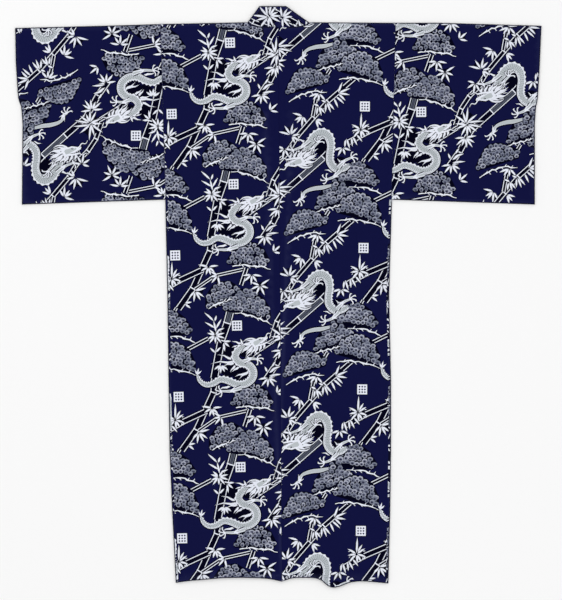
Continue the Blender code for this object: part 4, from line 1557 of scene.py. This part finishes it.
def model_stitch():
    """One stitch lying along X: a short round of thread whose ends dip into the cloth."""
    bpy.ops.object.select_all(action="DESELECT")
    bpy.ops.mesh.primitive_cylinder_add(vertices=6, radius=THREAD_RADIUS, depth=STITCH_LENGTH * 0.6,
                                        rotation=(0, math.pi / 2, 0))
    stitch = bpy.context.active_object
    bpy.ops.object.transform_apply(location=False, rotation=True, scale=False)
    bpy.ops.object.mode_set(mode="EDIT")
    for end in (-1, 1):
        bpy.ops.mesh.select_all(action="DESELECT")
        bpy.ops.object.mode_set(mode="OBJECT")
        for face in stitch.data.polygons:
            face.select = face.normal.x * end > 0.9
        bpy.ops.object.mode_set(mode="EDIT")
        bpy.ops.mesh.extrude_region_move(
            TRANSFORM_OT_translate={"value": (end * STITCH_LENGTH * 0.2, 0, -THREAD_RADIUS * 1.6)})
        bpy.ops.transform.resize(value=(1.0, 0.6, 0.6))
    bpy.ops.object.mode_set(mode="OBJECT")
    bpy.ops.object.shade_smooth()
    return stitch


def make_stitches(name, line, inset_by, pitch, pattern, thread):
    """Copies of one stitch beside a line, on the side where the garment is, joined into one piece."""
    middle = (MOVE_X, SHOULDER_Y - SLEEVE_BOTTOM / 2)
    side = 1 if signed_area([line[0], line[-1], middle]) > 0 else -1
    copies = []
    for i, (place, way) in enumerate(evenly_along(line, pitch)):
        x, y = place + np.array([-way[1], way[0]]) * side * inset_by
        stitch = pattern.copy()
        stitch.data = pattern.data.copy()
        z = float(over_both_fronts(np.array([(x, y)]))[0]) + CLOTH
        stitch.location = (x, y, z + THREAD_RADIUS * 0.5)
        stitch.rotation_euler = (0, 0, math.atan2(way[1], way[0]) + (unevenly(i, pitch) - 0.5) * 0.3)
        bpy.context.scene.collection.objects.link(stitch)
        copies.append(stitch)
    bpy.ops.object.select_all(action="DESELECT")
    for stitch in copies:
        stitch.select_set(True)
    bpy.context.view_layer.objects.active = copies[0]
    bpy.ops.object.join()
    bpy.ops.object.transform_apply(location=True, rotation=True, scale=True)
    piece = bpy.context.active_object
    piece.name = name
    piece.data.materials.clear()
    piece.data.materials.append(thread)
    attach(piece, "root")


def sew(thread):
    pattern = model_stitch()
    for side in (LEFT, RIGHT):
        cuff = down(lambda y: sleeve_edge(side, y), SHOULDER_Y - CUFF_TOP, SHOULDER_Y - CUFF_OPENING)
        make_stitches(f"hem_stitches_{name_of(side)}", back_hem_line(side), 0.012, 0.014, pattern, thread)
        make_stitches(f"cuff_stitches_{name_of(side)}", cuff, 0.009, 0.012, pattern, thread)
    bpy.data.objects.remove(pattern)


# Stage

def make_stage():
    bpy.ops.object.select_all(action="DESELECT")
    bpy.ops.mesh.primitive_plane_add(size=14.0, location=(0, 0, -0.0005))
    floor = bpy.context.active_object
    floor.name = "floor"
    material, _, _ = new_material("floor", {"Base Color": (0.95, 0.95, 0.95, 1.0), "Roughness": 0.9})
    floor.data.materials.append(material)


def make_light():
    world = bpy.data.worlds.new("studio")
    world.use_nodes = True
    world.node_tree.nodes["Background"].inputs["Color"].default_value = (1.0, 1.0, 1.0, 1.0)
    world.node_tree.nodes["Background"].inputs["Strength"].default_value = 0.92
    bpy.context.scene.world = world
    bpy.context.scene.view_settings.view_transform = "Standard"
    for name, place, size, energy in (
        ("key light", (-1.8, 2.2, 3.2), 2.4, 16.0),
        ("fill light", (2.2, -1.4, 3.0), 3.0, 6.0),
    ):
        light = bpy.data.lights.new(name, "AREA")
        light.energy = energy
        light.size = size
        lamp = bpy.data.objects.new(name, light)
        lamp.location = place
        x, y, z = place
        lamp.rotation_euler = (math.atan2(math.hypot(x, y), z), 0.0, math.atan2(-y, -x) - math.pi / 2)
        bpy.context.scene.collection.objects.link(lamp)


def make_camera():
    """The camera looks straight down, and frames the garment as the photo does."""
    data = bpy.data.cameras.new("camera")
    data.sensor_fit = "AUTO"
    data.sensor_width = 36.0
    data.lens = 36.0 * CAMERA_HEIGHT / (PHOTO_HEIGHT * METRES_A_PIXEL)
    camera = bpy.data.objects.new("camera", data)
    x = (PHOTO_CENTRE[0] - GARMENT_CENTRE[0]) * METRES_A_PIXEL
    y = (GARMENT_CENTRE[1] - PHOTO_CENTRE[1]) * METRES_A_PIXEL
    camera.location = (x, y, CAMERA_HEIGHT)
    bpy.context.scene.collection.objects.link(camera)
    bpy.context.scene.camera = camera


make_camera()
make_light()
make_stage()
weave_and_fading = (weave_group(), fading_group())
cotton = cotton_material(weave_and_fading)
for each_side in (LEFT, RIGHT):
    make_body(each_side, cotton)
    make_sleeve(each_side, cotton)
    make_overlap(each_side, cotton)
make_collar(cotton)
sew(thread_material(weave_and_fading))
